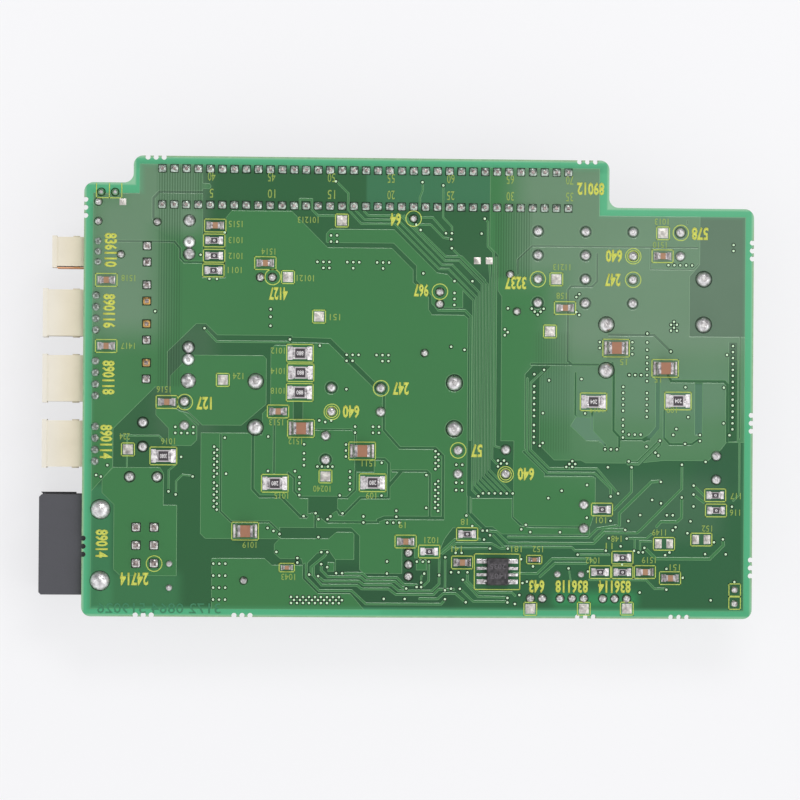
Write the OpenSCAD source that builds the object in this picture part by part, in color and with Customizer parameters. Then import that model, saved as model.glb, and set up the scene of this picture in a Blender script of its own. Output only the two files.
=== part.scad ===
// Control and power supply board of an industrial controller.
// The board lies on its component side, so its solder side faces up.
// X runs along the long edge, Y towards the tab that carries the main connector.

/* [Board] */
// Length of the board
board_w = 142.7; // [140:0.1:170]
// Depth of the board up to the step on the right
body_d = 87.55; // [86:0.05:110]
// How far the tab stands out past the step on the right
tab_out = 10.05; // [9:0.05:14]
// Thickness of the laminate
board_t = 1.6; // [1:0.1:2.4]
// Left end of the tab, from the left edge
tab_x0 = 10.4; // [6:0.1:12]
// Right end of the tab, from the left edge
tab_x1 = 111.6; // [110:0.1:125]
// Drop of the shoulder on the left, below the tab's edge
shoulder_drop = 5.75; // [2:0.05:8]
// Radius of the outline's corners
corner_r = 2.0; // [0.5:0.1:3]
// Diameter of the bites left by the break-off rails
bite_d = 1.1; // [0.6:0.1:1.6]
// Spacing of the bites
bite_pitch = 1.7; // [1.7:0.1:3]
// Distance of a bite's centre inside the edge
bite_in = 0.3; // [0:0.05:0.5]

/* [Layout] */
// Step of the layout grid, 25 thousandths of an inch
grid = 0.635; // [0.635:0.001:0.66]
// Grid origin from the left edge
grid_x0 = -0.1; // [-0.3:0.05:0.3]
// Grid origin from the lower edge
grid_y0 = -0.15; // [-0.3:0.05:0.3]

/* [Main connector] */
// Contacts in one of the two rows
main_ways = 35; // [10:1:35]
// Spacing of the contacts
main_pitch = 2.54; // [2:0.01:2.54]
// Distance between the two rows
main_rows = 7.62; // [5.08:0.01:8]
// Middle of the two rows, from the tab's edge
main_in = 6.5; // [6.2:0.1:8]
// Middle of the rows, from the left edge
main_mid = 59.65; // [58:0.1:62]
// Width of the housing
main_w = 10.4; // [10.2:0.1:12]
// Height of the housing
main_h = 14; // [8:0.1:15]
// Housing past the end contacts
main_end = 3.4; // [2:0.1:5]
// Side of the square contact posts
post = 0.64; // [0.5:0.01:0.8]
// Side of a contact window
window = 1.3; // [1:0.05:1.6]
// Depth of a contact window
window_deep = 8; // [4:0.1:9]

/* [Power inlet] */
// Width of the inlet housing
inlet_w = 21.2; // [20:0.1:24]
// How far the inlet stands out past the board's left edge
inlet_out = 9.1; // [6:0.1:12]
// How far the inlet reaches over the board
inlet_over = 9.6; // [8:0.1:10]
// Wall of the inlet's mouth
inlet_wall = 1.3; // [0.8:0.1:2]
// Depth of the inlet's mouth
inlet_deep = 11; // [9:0.1:13]
// Spacing of the inlet's pins
inlet_pitch = 3.81; // [3.5:0.01:4]
// Side of the inlet's square pins
inlet_pin = 1.0; // [0.8:0.05:1.2]
// Length of a pin inside the mouth
inlet_reach = 6; // [3:0.1:6.5]
// Level of the upper contacts below the board
inlet_level = 4.6; // [4:0.1:5]
// Drop from the upper contacts to the lower ones
inlet_rows = 5.4; // [5:0.1:6.5]
// Distance between the two board locks
lock_span = 15.1; // [14:0.1:16]
// Board locks from the left edge
lock_x = 3.9; // [3:0.1:5]
// Diameter of a board lock
lock_d = 2.9; // [2:0.1:3.2]

/* [Output headers] */
// Contacts in an output header
out_ways = 4; // [2:1:4]
// Spacing of the contacts
out_pitch = 2.45; // [2.2:0.05:2.5]
// Width of the housing
out_w = 9.8; // [9.6:0.1:11]
// Height of the housing
out_h = 7.6; // [7:0.1:9]
// How far the headers stand out past the left edge
out_out = 8.6; // [7:0.1:9]
// How far the headers reach over the board
out_over = 1.3; // [1:0.1:1.6]
// Length of the lip round a header's mouth
lip_l = 1.0; // [0.6:0.1:1.6]
// How far the lip stands out
lip_t = 0.25; // [0.1:0.05:0.35]
// Wall of a header
out_wall = 0.8; // [0.6:0.05:1]
// Depth of a header's mouth
out_deep = 7.8; // [7:0.1:8.2]
// Length of a contact inside the mouth
out_reach = 3.2; // [2:0.1:3.4]
// Pins from the left edge
out_pin_x = 2.65; // [2.4:0.05:3]
// Side of a header's square pins
out_pin = 0.6; // [0.5:0.01:0.7]

/* [Signal header] */
// Spacing of the signal header's contacts
sig_pitch = 2.2; // [2:0.05:2.4]
// Width of its housing
sig_w = 6.2; // [5.8:0.1:7]
// Height of its housing
sig_h = 5; // [4:0.1:6]
// How far it stands out past the left edge
sig_out = 6.7; // [5:0.1:8]
// Side of its square pins
sig_pin = 0.5; // [0.4:0.01:0.6]
// Thickness of the strip on its side
strip_t = 0.2; // [0.1:0.05:0.4]
// Length of the strip past the board's edge
strip_l = 5.6; // [3:0.1:6]

/* [Edge headers] */
// Spacing of the contacts
edge_pitch = 2.54; // [2:0.01:2.54]
// Width of the housings
edge_w = 5; // [4.6:0.1:5.2]
// Height of the housings
edge_h = 9; // [6:0.1:11]
// Housing past the end contacts
edge_end = 1.7; // [1.5:0.05:1.75]
// Wall of the housings
edge_wall = 0.75; // [0.6:0.05:0.9]
// Floor of the housings
edge_floor = 2; // [1.5:0.1:3]

/* [Capacitors] */
// Diameter of a filter capacitor's can
can_d = 10; // [8:0.1:10.1]
// Height of a can
can_h = 15.8; // [14.6:0.1:20]
// Gap between a can and the board
can_gap = 0.2; // [0:0.05:0.5]
// Spacing of a can's leads
can_pitch = 5.08; // [5:0.01:5.2]
// Diameter of a can's leads
can_lead = 0.7; // [0.5:0.05:0.8]

/* [Chokes] */
// Diameter of the flanges
choke_d = 13; // [11:0.1:13.2]
// Height of a choke
choke_h = 13.4; // [8:0.1:15]
// Thickness of a flange
flange_t = 1.5; // [1:0.1:2]
// Diameter of the core between the flanges
core_d = 6; // [4:0.1:7]
// Diameter of the copper wire
wire_d = 0.9; // [0.5:0.05:1]
// Diameter over the winding
coil_d = 11.6; // [9:0.1:12]
// Spacing of the leads
choke_pitch = 9.75; // [9:0.05:9.8]
// Diameter of the leads
choke_lead = 1.2; // [1:0.05:1.4]

/* [Line filters] */
// Length of a filter block
block_l = 9.6; // [9:0.1:10]
// Width of a filter block
block_w = 7.5; // [6:0.1:8]
// Height of a filter block
block_h = 12; // [9:0.1:14]
// Diameter of its leads
block_lead = 0.9; // [0.8:0.05:1]

/* [Fuses] */
// Distance from one fuse to the next
fuse_step = 8.255; // [8.2:0.005:8.4]
// Spacing of a fuse's terminals
fuse_pitch = 3.43; // [3:0.01:3.6]
// Length of a holder
fuse_l = 7.4; // [6.8:0.1:7.6]
// Width of a holder
fuse_w = 4.8; // [4:0.1:6]
// Height of a holder
fuse_h = 6; // [5:0.1:8]
// Height of the fuse's body below the holder
fuse_body = 5; // [3:0.1:7]
// Side of a square terminal
fuse_pin = 0.8; // [0.6:0.05:0.9]

/* [Chips] */
// Length of a small chip part
chip_s_l = 2.0; // [1.8:0.05:2.2]
// Width of a small chip part
chip_s_w = 1.3; // [1.1:0.05:1.4]
// Length of a large chip part
chip_l_l = 3.2; // [3:0.05:3.4]
// Width of a large chip part
chip_l_w = 2.5; // [2.2:0.05:2.6]
// Height of a chip resistor
res_h = 0.55; // [0.4:0.05:0.7]
// Height of a large chip capacitor
cap_h = 1.6; // [1:0.1:1.9]
// Height of a small chip capacitor
cap_s_h = 0.9; // [0.6:0.05:1.2]
// Length of the solder past the end of a small chip
fillet_s = 0.85; // [0.4:0.05:1]
// Length of the solder past the end of a large chip
fillet_l = 1.0; // [0.5:0.05:1.1]
// Width of the eight-lead chip's body
soic_w = 3.9; // [3.7:0.1:4]
// Length of the eight-lead chip's body
soic_l = 4.9; // [4.9:0.1:5.2]
// Height of the eight-lead chip's body
soic_h = 1.5; // [1.2:0.1:1.8]
// Spacing of a chip's leads
lead_pitch = 1.27; // [1.2:0.01:1.27]
// Width of a lead
lead_w = 0.4; // [0.3:0.05:0.5]
// Thickness of a lead
lead_t = 0.2; // [0.15:0.01:0.25]
// How far the leads of the eight-lead chip reach out
soic_reach = 1.2; // [1:0.05:1.3]
// Width of the interface chip's body
chip_w = 4.6; // [4.2:0.1:5]
// Length of the interface chip's body
chip_l = 5.8; // [5.2:0.1:6.2]
// Spacing of the interface chip's leads
chip_pitch = 1.34; // [1.27:0.01:1.4]
// How far the leads of the interface chip reach out
chip_reach = 1.6; // [1.2:0.05:1.9]
// Width of a control chip's body
ctrl_w = 7.5; // [7:0.1:8]
// Length of a control chip's body
ctrl_l = 10.3; // [10.3:0.1:11]
// Height of a control chip's body
ctrl_h = 2.3; // [2:0.1:2.6]

/* [Absorbers and lamps] */
// Diameter of a surge absorber's disc
disc_d = 8.6; // [7:0.1:9]
// Thickness of its disc
disc_t = 3; // [2:0.1:3.6]
// Depth of its middle below the board
disc_drop = 5.5; // [5:0.1:7]
// Diameter of a small disc
mini_d = 5.6; // [4:0.1:6]
// Thickness of a small disc
mini_t = 2.2; // [1.5:0.1:2.6]
// Depth of its middle below the board
mini_drop = 4.4; // [4:0.1:6]
// Side of an indicator lamp's case
lamp_w = 2.6; // [2:0.1:2.9]
// Height of an indicator lamp's case
lamp_h = 5; // [3:0.1:7]

/* [Solder] */
// Diameter of a joint on a thin pin
joint_s = 1.75; // [1.5:0.05:1.9]
// Diameter of a joint on a capacitor lead
joint_m = 2.1; // [1.8:0.05:2.3]
// Diameter of a joint on a filter lead
joint_f = 2.5; // [2.2:0.05:2.6]
// Diameter of a joint on a choke lead
joint_l = 3.3; // [3:0.05:3.5]
// Diameter of the widest joint on a filter lead
joint_w = 3.1; // [2.5:0.05:3.4]
// Side of a joint on a square pad
joint_q = 1.5; // [1.3:0.05:1.7]
// Diameter of a joint on a board lock
joint_x = 4.1; // [3.8:0.05:4.4]
// Height of a joint on a thin pin
rise_s = 0.6; // [0.4:0.05:0.7]
// Height of a joint on a capacitor lead
rise_m = 0.85; // [0.6:0.05:0.9]
// Height of a joint on a filter lead
rise_f = 0.95; // [0.7:0.05:1]
// Height of a joint on a choke lead
rise_l = 1.15; // [0.8:0.05:1.2]
// Height of the solder over a board lock
rise_x = 1.2; // [1:0.05:1.4]
// How far the tip of a board lock stands into that solder
lock_tip = 0.45; // [0.3:0.05:0.5]
// Clearance of a pin in its hole
hole_fit = 0.1; // [0.05:0.01:0.15]
// Clearance of solder on its pin
joint_fit = 0.02; // [0:0.005:0.05]
// Length of a filter lead inside its block
block_lead_in = 3; // [2:0.1:4]
// Depth of a fuse body in its holder
fuse_seat = 3; // [2:0.1:3.5]
// Height of the base of a pin strip
base_h = 2.5; // [2:0.1:3]
// Width of the base of a pin strip
base_w = 2.4; // [2:0.1:2.5]
// Clearance of a pin in its housing
pin_fit = 0.03; // [0.01:0.005:0.06]

/* [Hidden] */
$fn = 48;
board_d = body_d + tab_out;
// From the floor to the underside of the board
rest_h = can_h + can_gap;
top_z = rest_h + board_t;
// Left end of the whole part, and the shift that centres it
left_out = max(inlet_out, out_out, sig_out);
shift = [-(board_w - left_out) / 2, -board_d / 2, 0];

function on_grid(p) = [grid_x0 + grid * p[0], grid_y0 + grid * p[1]];

// Places in grid steps
can_at = [
    [152, 126], [152, 110], [168, 126], [168, 110], [184, 126], [184, 110], [200, 126],
    [34, 68], [99.5, 73], [83, 73], [81.2, 56.9], [125.6, 52.4], [141.6, 52.6],
    [168, 34.4], [212.6, 51]
];
choke_at = [[57.7, 71.2], [124.2, 71.2], [175.2, 91.2], [208, 106.7]];
// Each filter block: its middle, then its leads from the middle
block_at = [[35.2, 126.8], [35.2, 84.5]];
block_leads = [[5.6, -1.6, -5.6], [5.6, 1.5, -5.6]];
fuse_at = [21.2, 82.1];
fuse_count = 4;
disc_at = [[20.2, 60.9, 90], [20.5, 46.8, 0]];
disc_pitch = [5.1, 5.8];
out_at = [57.7, 79.5, 101.4];
sig_at = 121.8;
edge_at = [[152.2, 6.9], [164.2, 6.9], [178.6, 6.9]];
edge_ways = [2, 3, 3];
inlet_at = 24;
inlet_pin_x = 18.2;
strip_at = [[61, 113.7, 2, 0], [119.1, 107.3, 2, 90], [109.2, 18, 3, 90]];
post_at = [
    [110.1, 133.8], [114.1, 88.8], [145, 103], [142.7, 115.4], [54.1, 12.4],
    [12.5, 120.9], [24.5, 131.8], [4.9, 131.9], [4.9, 138.4], [219, 10.1], [219, 5.4]
];
lamp_at = [[5.8, 141.6], [10.4, 141.6]];
small_at = [[163.2, 15, 0], [29.3, 13.9, 90]];
small_res_at = [
    [43.5, 125.8], [43.5, 120.7], [43.3, 115.8], [116.1, 22.4], [128.8, 28.3], [174.1, 36.8],
    [181.1, 20.7], [173.6, 15.8], [181.1, 15.8], [212.3, 41.8], [212.6, 36.7]
];
small_cap_at = [
    [43.8, 130.8], [60.6, 118.4], [7.7, 112.3], [7.8, 90.3], [28.1, 71.8], [65.2, 68.9],
    [161.2, 104.3], [194, 122], [108.2, 25.7], [127.2, 18.8], [188.7, 15.9], [197.2, 13.9]
];
tiny_cap_at = [[68.5, 16.8], [151.4, 19.9]];
large_res_at = [
    [27.1, 53.8], [72.4, 88.4], [72.6, 81.9], [72.4, 75.3], [64.3, 44.9], [97, 45.3],
    [171, 72.9], [199.5, 73.4]
];
large_cap_at = [[72.9, 63.3], [93.4, 55.9], [178.5, 91], [195.1, 84.3], [54.5, 28.9]];
soic_at = [139, 15.8];
// On the component side
control_at = [[64, 46], [168, 62], [194, 66]];
power_at = [[79.5, 114], [89.7, 114], [99.7, 114], [89.7, 92], [99.7, 92], [158, 78], [186, 78]];

// Levels of the inlet's contacts
inlet_z = [rest_h - inlet_level, rest_h - inlet_level - inlet_rows];
main_y = board_d - main_in;

// ---- shared shapes ----

module at(p, z = 0) {
    translate([on_grid(p)[0], on_grid(p)[1], z]) children();
}

module rounded_rect(w, d, r) {
    square([w - 2 * r, d], center = true);
    square([w, d - 2 * r], center = true);
    for (x = [-1, 1], y = [-1, 1])
        translate([x * (w / 2 - r), y * (d / 2 - r)]) circle(r);
}

// A drop of solder: part of a ball, open in the middle for a round pin
module round_joint(d, h, pin) {
    r = (d * d / 4 + h * h) / (2 * h);
    rotate_extrude()
        difference() {
            intersection() {
                translate([0, h - r]) circle(r, $fn = 96);
                square([d / 2, h]);
            }
            square([pin / 2 + joint_fit, 3 * h], center = false);
        }
}

// The same on a square pin
module square_joint(d, h, pin) {
    r = (d * d / 4 + h * h) / (2 * h);
    difference() {
        rotate_extrude()
            intersection() {
                translate([0, h - r]) circle(r, $fn = 96);
                square([d / 2, h]);
            }
        cube([pin + 2 * joint_fit, pin + 2 * joint_fit, 3 * h], center = true);
    }
}

// The same on a square pad: the drop is cut to the pad's rounded square
module pad_joint(side, h, pin) {
    intersection() {
        square_joint(1.42 * side, h, pin);
        linear_extrude(2 * h) rounded_rect(side, side, side / 6);
    }
}

// A drop that covers the end of its pin
module capped_joint(d, h, pin, deep) {
    r = (d * d / 4 + h * h) / (2 * h);
    rotate_extrude() difference() {
        intersection() {
            translate([0, h - r]) circle(r, $fn = 96);
            square([d / 2, h]);
        }
        square([pin / 2 + joint_fit, deep + joint_fit]);
    }
}

module square_bar(side, z0, z1) {
    translate([-side / 2, -side / 2, z0]) cube([side, side, z1 - z0]);
}

// A square pin that comes out of a housing level and turns up into the board
module bent_pin(side, x0, x1, z, tip) {
    translate([x0, -side / 2, z - side / 2]) cube([x1 - x0 + side / 2, side, side]);
    translate([x1, 0, 0]) square_bar(side, z - side / 2, tip);
}

// ---- the board ----

// Where every hole goes: [x, y, diameter]
function row(n, pitch) = [for (i = [0 : n - 1]) (i - (n - 1) / 2) * pitch];
function turn(p, a) = [p[0] * cos(a) - p[1] * sin(a), p[0] * sin(a) + p[1] * cos(a)];
function round_hole(d) = d + 2 * hole_fit;
function post_hole(side) = side * sqrt(2) + 2 * hole_fit;

main_pins = [
    for (r = [-1, 1], x = row(main_ways, main_pitch)) [main_mid + x, main_y + r * main_rows / 2]
];
inlet_y = on_grid([0, inlet_at])[1];
inlet_x = on_grid([inlet_pin_x, 0])[0];
inlet_pins = [
    for (i = [0, 1], y = row(3, inlet_pitch)) [inlet_x + i * inlet_pitch, inlet_y + y, inlet_z[i]]
];
lock_pins = [for (s = [-1, 1]) [lock_x, inlet_y + s * lock_span / 2]];
out_pins = [for (l = out_at, y = row(out_ways, out_pitch)) [out_pin_x, on_grid([0, l])[1] + y]];
sig_pins = [for (y = row(3, sig_pitch)) [out_pin_x + 0.35, on_grid([0, sig_at])[1] + y]];
edge_pins = [
    for (i = [0 : 2], x = row(edge_ways[i], edge_pitch)) on_grid(edge_at[i]) + [x, 0]
];
can_pins = [for (p = can_at, y = row(2, can_pitch)) on_grid(p) + [0, y]];
choke_pins = [for (p = choke_at, y = row(2, choke_pitch)) on_grid(p) + [0, y]];
block_pins = [for (i = [0, 1], l = block_leads[i]) on_grid(block_at[i] + [0, l])];
fuse_pins = [
    for (i = [0 : fuse_count - 1], y = row(2, fuse_pitch))
        on_grid(fuse_at) + [0, i * fuse_step + y]
];
disc_pins = [
    for (i = [0, 1], x = row(2, disc_pitch[i])) on_grid(disc_at[i]) + turn([x, 0], disc_at[i][2])
];
strip_pins = [for (s = strip_at, x = row(s[2], edge_pitch)) on_grid(s) + turn([x, 0], s[3])];
small_pins = [for (s = small_at, x = row(2, can_pitch)) on_grid(s) + turn([x, 0], s[2])];
post_pins = [for (p = post_at) on_grid(p)];
lamp_pins = [for (p = lamp_at) on_grid(p)];

module outline() {
    step_y = body_d;
    left_y = board_d - shoulder_drop;
    r = corner_r;
    difference() {
        union() {
            square([tab_x0 + 1, left_y]);
            translate([tab_x0, 0]) square([tab_x1 - tab_x0, board_d]);
            translate([tab_x1 - 1, 0]) square([board_w - tab_x1 + 1, step_y]);
            // fillets in the two inner corners
            difference() {
                translate([tab_x0 - r, left_y - 1]) square([r, 1 + r]);
                translate([tab_x0 - r, left_y + r]) circle(r);
            }
            difference() {
                translate([tab_x1, step_y - 1]) square([r, 1 + r]);
                translate([tab_x1 + r, step_y + r]) circle(r);
            }
        }
        for (c = [
            [0, 0, 1, 1], [board_w, 0, -1, 1], [board_w, step_y, -1, -1],
            [tab_x1, board_d, -1, -1], [tab_x0, board_d, 1, -1], [0, left_y, 1, -1]
        ])
            translate([c[0], c[1]]) difference() {
                square(2 * r, center = true);
                translate([c[2] * r, c[3] * r]) circle(r);
            }
    }
}

module bites() {
    right_x = board_w - bite_in;
    for (i = [-1, 0, 1]) {
        s = i * bite_pitch;
        for (x = [tab_x0 + 4.7, tab_x1 - 4.7]) translate([x + s, board_d - bite_in]) circle(d = bite_d);
        for (x = [13.1, 34, 107.1, 127.1]) translate([x + s, bite_in]) circle(d = bite_d);
        for (y = [14.8, board_d - 11.1]) translate([bite_in, y + s]) circle(d = bite_d);
        for (y = [10.9, 41.8, body_d - 8.9]) translate([right_x, y + s]) circle(d = bite_d);
    }
}

module holes(list, d) {
    for (p = list) translate([p[0], p[1], rest_h - 1]) cylinder(h = board_t + 2, d = d);
}

module board() {
    color([0.18, 0.42, 0.22]) translate(shift) difference() {
        translate([0, 0, rest_h]) linear_extrude(board_t) difference() {
            outline();
            bites();
        }
        holes(main_pins, post_hole(post));
        holes(inlet_pins, post_hole(inlet_pin));
        holes(lock_pins, round_hole(lock_d));
        holes(out_pins, post_hole(out_pin));
        holes(sig_pins, post_hole(sig_pin));
        holes(edge_pins, post_hole(out_pin));
        holes(can_pins, round_hole(can_lead));
        holes(choke_pins, round_hole(choke_lead));
        holes(block_pins, round_hole(block_lead));
        holes(fuse_pins, post_hole(fuse_pin));
        holes(concat(disc_pins, small_pins, post_pins, lamp_pins), round_hole(can_lead));
        holes(strip_pins, post_hole(out_pin));
    }
}

// ---- the main connector: a straight socket with two rows of contact windows ----

module main_connector_housing() {
    len = (main_ways - 1) * main_pitch + 2 * main_end;
    face = rest_h - main_h;
    rib = 5 * main_pitch;
    color([0.24, 0.24, 0.26]) translate(shift) translate([main_mid, main_y, 0]) difference() {
        translate([0, 0, face]) linear_extrude(main_h) rounded_rect(len, main_w, 0.8);
        // contact windows, their lead-in steps and the holes for the posts
        for (x = row(main_ways, main_pitch), r = [-1, 1]) translate([x, r * main_rows / 2, 0]) {
            square_bar(window, face - 1, face + window_deep);
            square_bar(window + 0.5, face - 1, face + 0.5);
            square_bar(post + 2 * pin_fit, face + 1, rest_h + 1);
        }
        // cored channel between the rows, with ribs across it
        for (i = [-3 : 3])
            translate([i * rib - (rib - 1.2) / 2, -1.5, face - 1]) cube([rib - 1.2, 3, 10]);
        // keying notches in the ends, and grip rebates along the sides
        for (s = [-1, 1]) {
            translate([s * len / 2, s * 2.2, face + 2.5]) cube([2.4, 2, 5.2], center = true);
            translate([0, s * main_w / 2, rest_h - 3.4]) cube([len - 16, 0.8, 2], center = true);
        }
    }
}

module main_connector_contacts() {
    color("silver") translate(shift) for (p = main_pins) translate([p[0], p[1], 0]) {
        square_bar(post, rest_h - main_h + 3, top_z + 0.75);
        translate([0, 0, rest_h - main_h + 2.7])
            linear_extrude(0.3) square(post * 0.6, center = true);
    }
}

module main_connector_joints() {
    color([0.8, 0.8, 0.82]) translate(shift)
        for (p = main_pins) translate([p[0], p[1], top_z]) pad_joint(joint_q, rise_s, post);
}

// ---- the power inlet ----

module power_inlet_housing() {
    mouth_w = inlet_w - 2 * inlet_wall;
    color([0.2, 0.2, 0.21]) translate(shift) translate([0, inlet_y, 0]) difference() {
        union() {
            translate([-inlet_out, -inlet_w / 2, 0])
                cube([inlet_out + inlet_over, inlet_w, rest_h]);
            // keys along the two sides
            for (s = [-1, 1]) translate([-inlet_out, s * inlet_w / 2 - 0.4, 5])
                cube([inlet_out - 1.5, 0.8, 2]);
        }
        translate([-inlet_out - 1, -mouth_w / 2, inlet_wall])
            cube([inlet_deep + 1, mouth_w, rest_h - 2 * inlet_wall]);
        // slot of the latch, in the face away from the board
        translate([-inlet_out + 2, -3, -1]) cube([3, 6, inlet_wall + 2]);
        // chamfer on the far rear edge, and small ones on the corners of the mouth
        translate([inlet_over, 0, 0]) rotate([0, 45, 0]) cube([3.4, 2 * inlet_w, 3.4], center = true);
        for (s = [-1, 1]) translate([-inlet_out, s * inlet_w / 2, rest_h / 2]) rotate([0, 0, 45])
            cube([0.7, 0.7, 2 * rest_h], center = true);
        for (y = row(3, inlet_pitch), z = inlet_z) translate([0, y, z])
            cube([4 * inlet_over, inlet_pin + 2 * pin_fit, inlet_pin + 2 * pin_fit], center = true);
        for (s = [-1, 1]) translate([lock_x, s * lock_span / 2, rest_h - 2])
            cylinder(h = 3, d = lock_d);
    }
}

module power_inlet_pins() {
    start = inlet_deep - inlet_out - inlet_reach;
    color([0.78, 0.76, 0.7]) translate(shift) for (p = inlet_pins) translate([0, p[1], 0])
        bent_pin(inlet_pin, start, p[0], p[2], top_z + 0.9);
}

module power_inlet_joints() {
    color([0.8, 0.8, 0.82]) translate(shift)
        for (p = inlet_pins) translate([p[0], p[1], top_z]) pad_joint(1.1 * joint_q, rise_s, inlet_pin);
}

// Pegs that hold the housing down
module board_locks() {
    color([0.75, 0.75, 0.77]) translate(shift) for (p = lock_pins) translate([p[0], p[1], rest_h - 2]) {
        cylinder(h = board_t + 2 + lock_tip / 2, d = lock_d);
        translate([0, 0, board_t + 2 + lock_tip / 2])
            cylinder(h = lock_tip / 2, d1 = lock_d, d2 = lock_d - lock_tip);
    }
}

module board_lock_joints() {
    color([0.8, 0.8, 0.82]) translate(shift)
        for (p = lock_pins) translate([p[0], p[1], top_z]) capped_joint(joint_x, rise_x, lock_d, lock_tip);
}

// ---- the three output headers ----

module side_header(l, w, h, out, over, wall, deep, ways, pitch, pin, level) {
    color([0.88, 0.84, 0.74]) translate(shift) translate([0, on_grid([0, l])[1], 0])
        difference() {
            union() {
                translate([-out, -w / 2, rest_h - h]) cube([out + over, w, h]);
                translate([-out, -w / 2 - lip_t, rest_h - h - lip_t])
                    cube([lip_l, w + 2 * lip_t, h + 2 * lip_t]);
                // stops along the two sides
                for (s = [-1, 1]) translate([-1.6, s * (w / 2), rest_h - h / 2])
                    cube([1.4, 0.5, h * 0.6], center = true);
            }
            translate([-out - 1, -w / 2 + wall, rest_h - h + wall])
                cube([deep + 1, w - 2 * wall, h - 2 * wall]);
            // keyway in the face away from the board
            translate([-out - 1, -w / 6, rest_h - h - 1]) cube([deep * 0.6 + 1, w / 3, wall + 2]);
            for (y = row(ways, pitch)) translate([0, y, rest_h - level])
                cube([6 * over, pin + 2 * pin_fit, pin + 2 * pin_fit], center = true);
        }
}

module output_header(i) {
    side_header(
        out_at[i], out_w, out_h, out_out, out_over, out_wall, out_deep,
        out_ways, out_pitch, out_pin, out_h / 2
    );
}

module output_header_lower() { output_header(0); }
module output_header_middle() { output_header(1); }
module output_header_upper() { output_header(2); }

module output_header_pins() {
    color("silver") translate(shift) for (p = out_pins) translate([0, p[1], 0])
        bent_pin(out_pin, out_deep - out_out - out_reach, p[0], rest_h - out_h / 2, top_z + 0.7);
}

module output_header_joints() {
    color([0.8, 0.8, 0.82]) translate(shift)
        for (p = out_pins) translate([p[0], p[1], top_z]) square_joint(joint_s, rise_s, out_pin);
}

// ---- the small signal header, with a thin strip along its side ----

module signal_header_housing() {
    side_header(sig_at, sig_w, sig_h, sig_out, 1.2, 0.6, 5, 3, sig_pitch, sig_pin, sig_h / 2);
}

module signal_header_pins() {
    color("silver") translate(shift) for (p = sig_pins) translate([0, p[1], 0])
        bent_pin(sig_pin, 5 - sig_out - 2.4, p[0], rest_h - sig_h / 2, top_z + 0.6);
}

module signal_header_joints() {
    color([0.8, 0.8, 0.82]) translate(shift)
        for (p = sig_pins) translate([p[0], p[1], top_z]) square_joint(0.9 * joint_s, 0.9 * rise_s, sig_pin);
}

module signal_header_strip() {
    color([0.82, 0.48, 0.2]) translate(shift)
        translate([-strip_l, on_grid([0, sig_at])[1] - sig_w / 2 - 0.25 - strip_t, rest_h - sig_h])
            cube([strip_l + 1, strip_t, sig_h]);
}

// ---- the three headers along the lower edge, which open downwards ----

module edge_header(i) {
    len = (edge_ways[i] - 1) * edge_pitch + 2 * edge_end;
    color([0.88, 0.84, 0.74]) translate(shift) at(edge_at[i]) difference() {
        translate([0, 0, rest_h - edge_h]) linear_extrude(edge_h) rounded_rect(len, edge_w, 0.4);
        translate([0, 0, rest_h - edge_h - 1]) linear_extrude(edge_h - edge_floor + 1)
            square([len - 2 * edge_wall, edge_w - 2 * edge_wall], center = true);
        // latch slots in the outer wall
        for (x = row(edge_ways[i] - 1, edge_pitch)) translate([x, -edge_w / 2, rest_h - edge_h])
            cube([1, 2 * edge_wall + 0.5, 8], center = true);
        for (x = row(edge_ways[i], edge_pitch)) translate([x, 0, 0])
            square_bar(out_pin + 2 * pin_fit, rest_h - edge_floor - 1, rest_h + 1);
    }
}

module edge_header_left() { edge_header(0); }
module edge_header_middle() { edge_header(1); }
module edge_header_right() { edge_header(2); }

module edge_header_pins() {
    color("silver") translate(shift) for (p = edge_pins) translate([p[0], p[1], 0])
        square_bar(out_pin, rest_h - edge_h + 1.5, top_z + 0.7);
}

module edge_header_joints() {
    color([0.8, 0.8, 0.82]) translate(shift)
        for (p = edge_pins) translate([p[0], p[1], top_z]) square_joint(joint_s, rise_s, out_pin);
}

// ---- the filter capacitors ----

module filter_capacitor_cans() {
    rim = 1.1;
    r = can_d / 2;
    color([0.16, 0.2, 0.3]) translate(shift) for (p = can_at) at(p)
        rotate_extrude() difference() {
            union() {
                square([r - 0.7, can_h]);
                translate([0, 0.7]) square([r, can_h - 1.1]);
                translate([r - 0.7, 0.7]) circle(0.7);
                translate([r - 0.4, can_h - 0.4]) circle(0.4);
                square([r - 0.4, can_h]);
            }
            // rolled groove near the seal, and the recess that holds the seal
            translate([r + 0.35, can_h - 2.4]) circle(0.8);
            translate([0, can_h - rim]) square([r - 0.9, rim + 1]);
            translate([r, can_h - 0.4]) square(1);
            // shallow dish in the closed end
            translate([0, -40 + 0.25]) circle(40, $fn = 128);
        }
}

module filter_capacitor_seals() {
    color([0.1, 0.1, 0.11]) translate(shift) for (p = can_at) at(p)
        translate([0, 0, can_h - 1.1]) difference() {
            cylinder(h = 1.1, d = can_d - 1.8);
            for (y = row(2, can_pitch)) translate([0, y, -1]) cylinder(h = 4, d = can_lead);
        }
}

module filter_capacitor_leads() {
    color("silver") translate(shift) for (p = can_pins) translate([p[0], p[1], can_h - 1.1])
        cylinder(h = top_z + 0.9 - can_h + 1.1, d = can_lead);
}

module filter_capacitor_joints() {
    color([0.8, 0.8, 0.82]) translate(shift)
        for (p = can_pins) translate([p[0], p[1], top_z]) round_joint(joint_m, rise_m, can_lead);
}

// ---- the drum chokes, wound with thick copper wire ----

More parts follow.
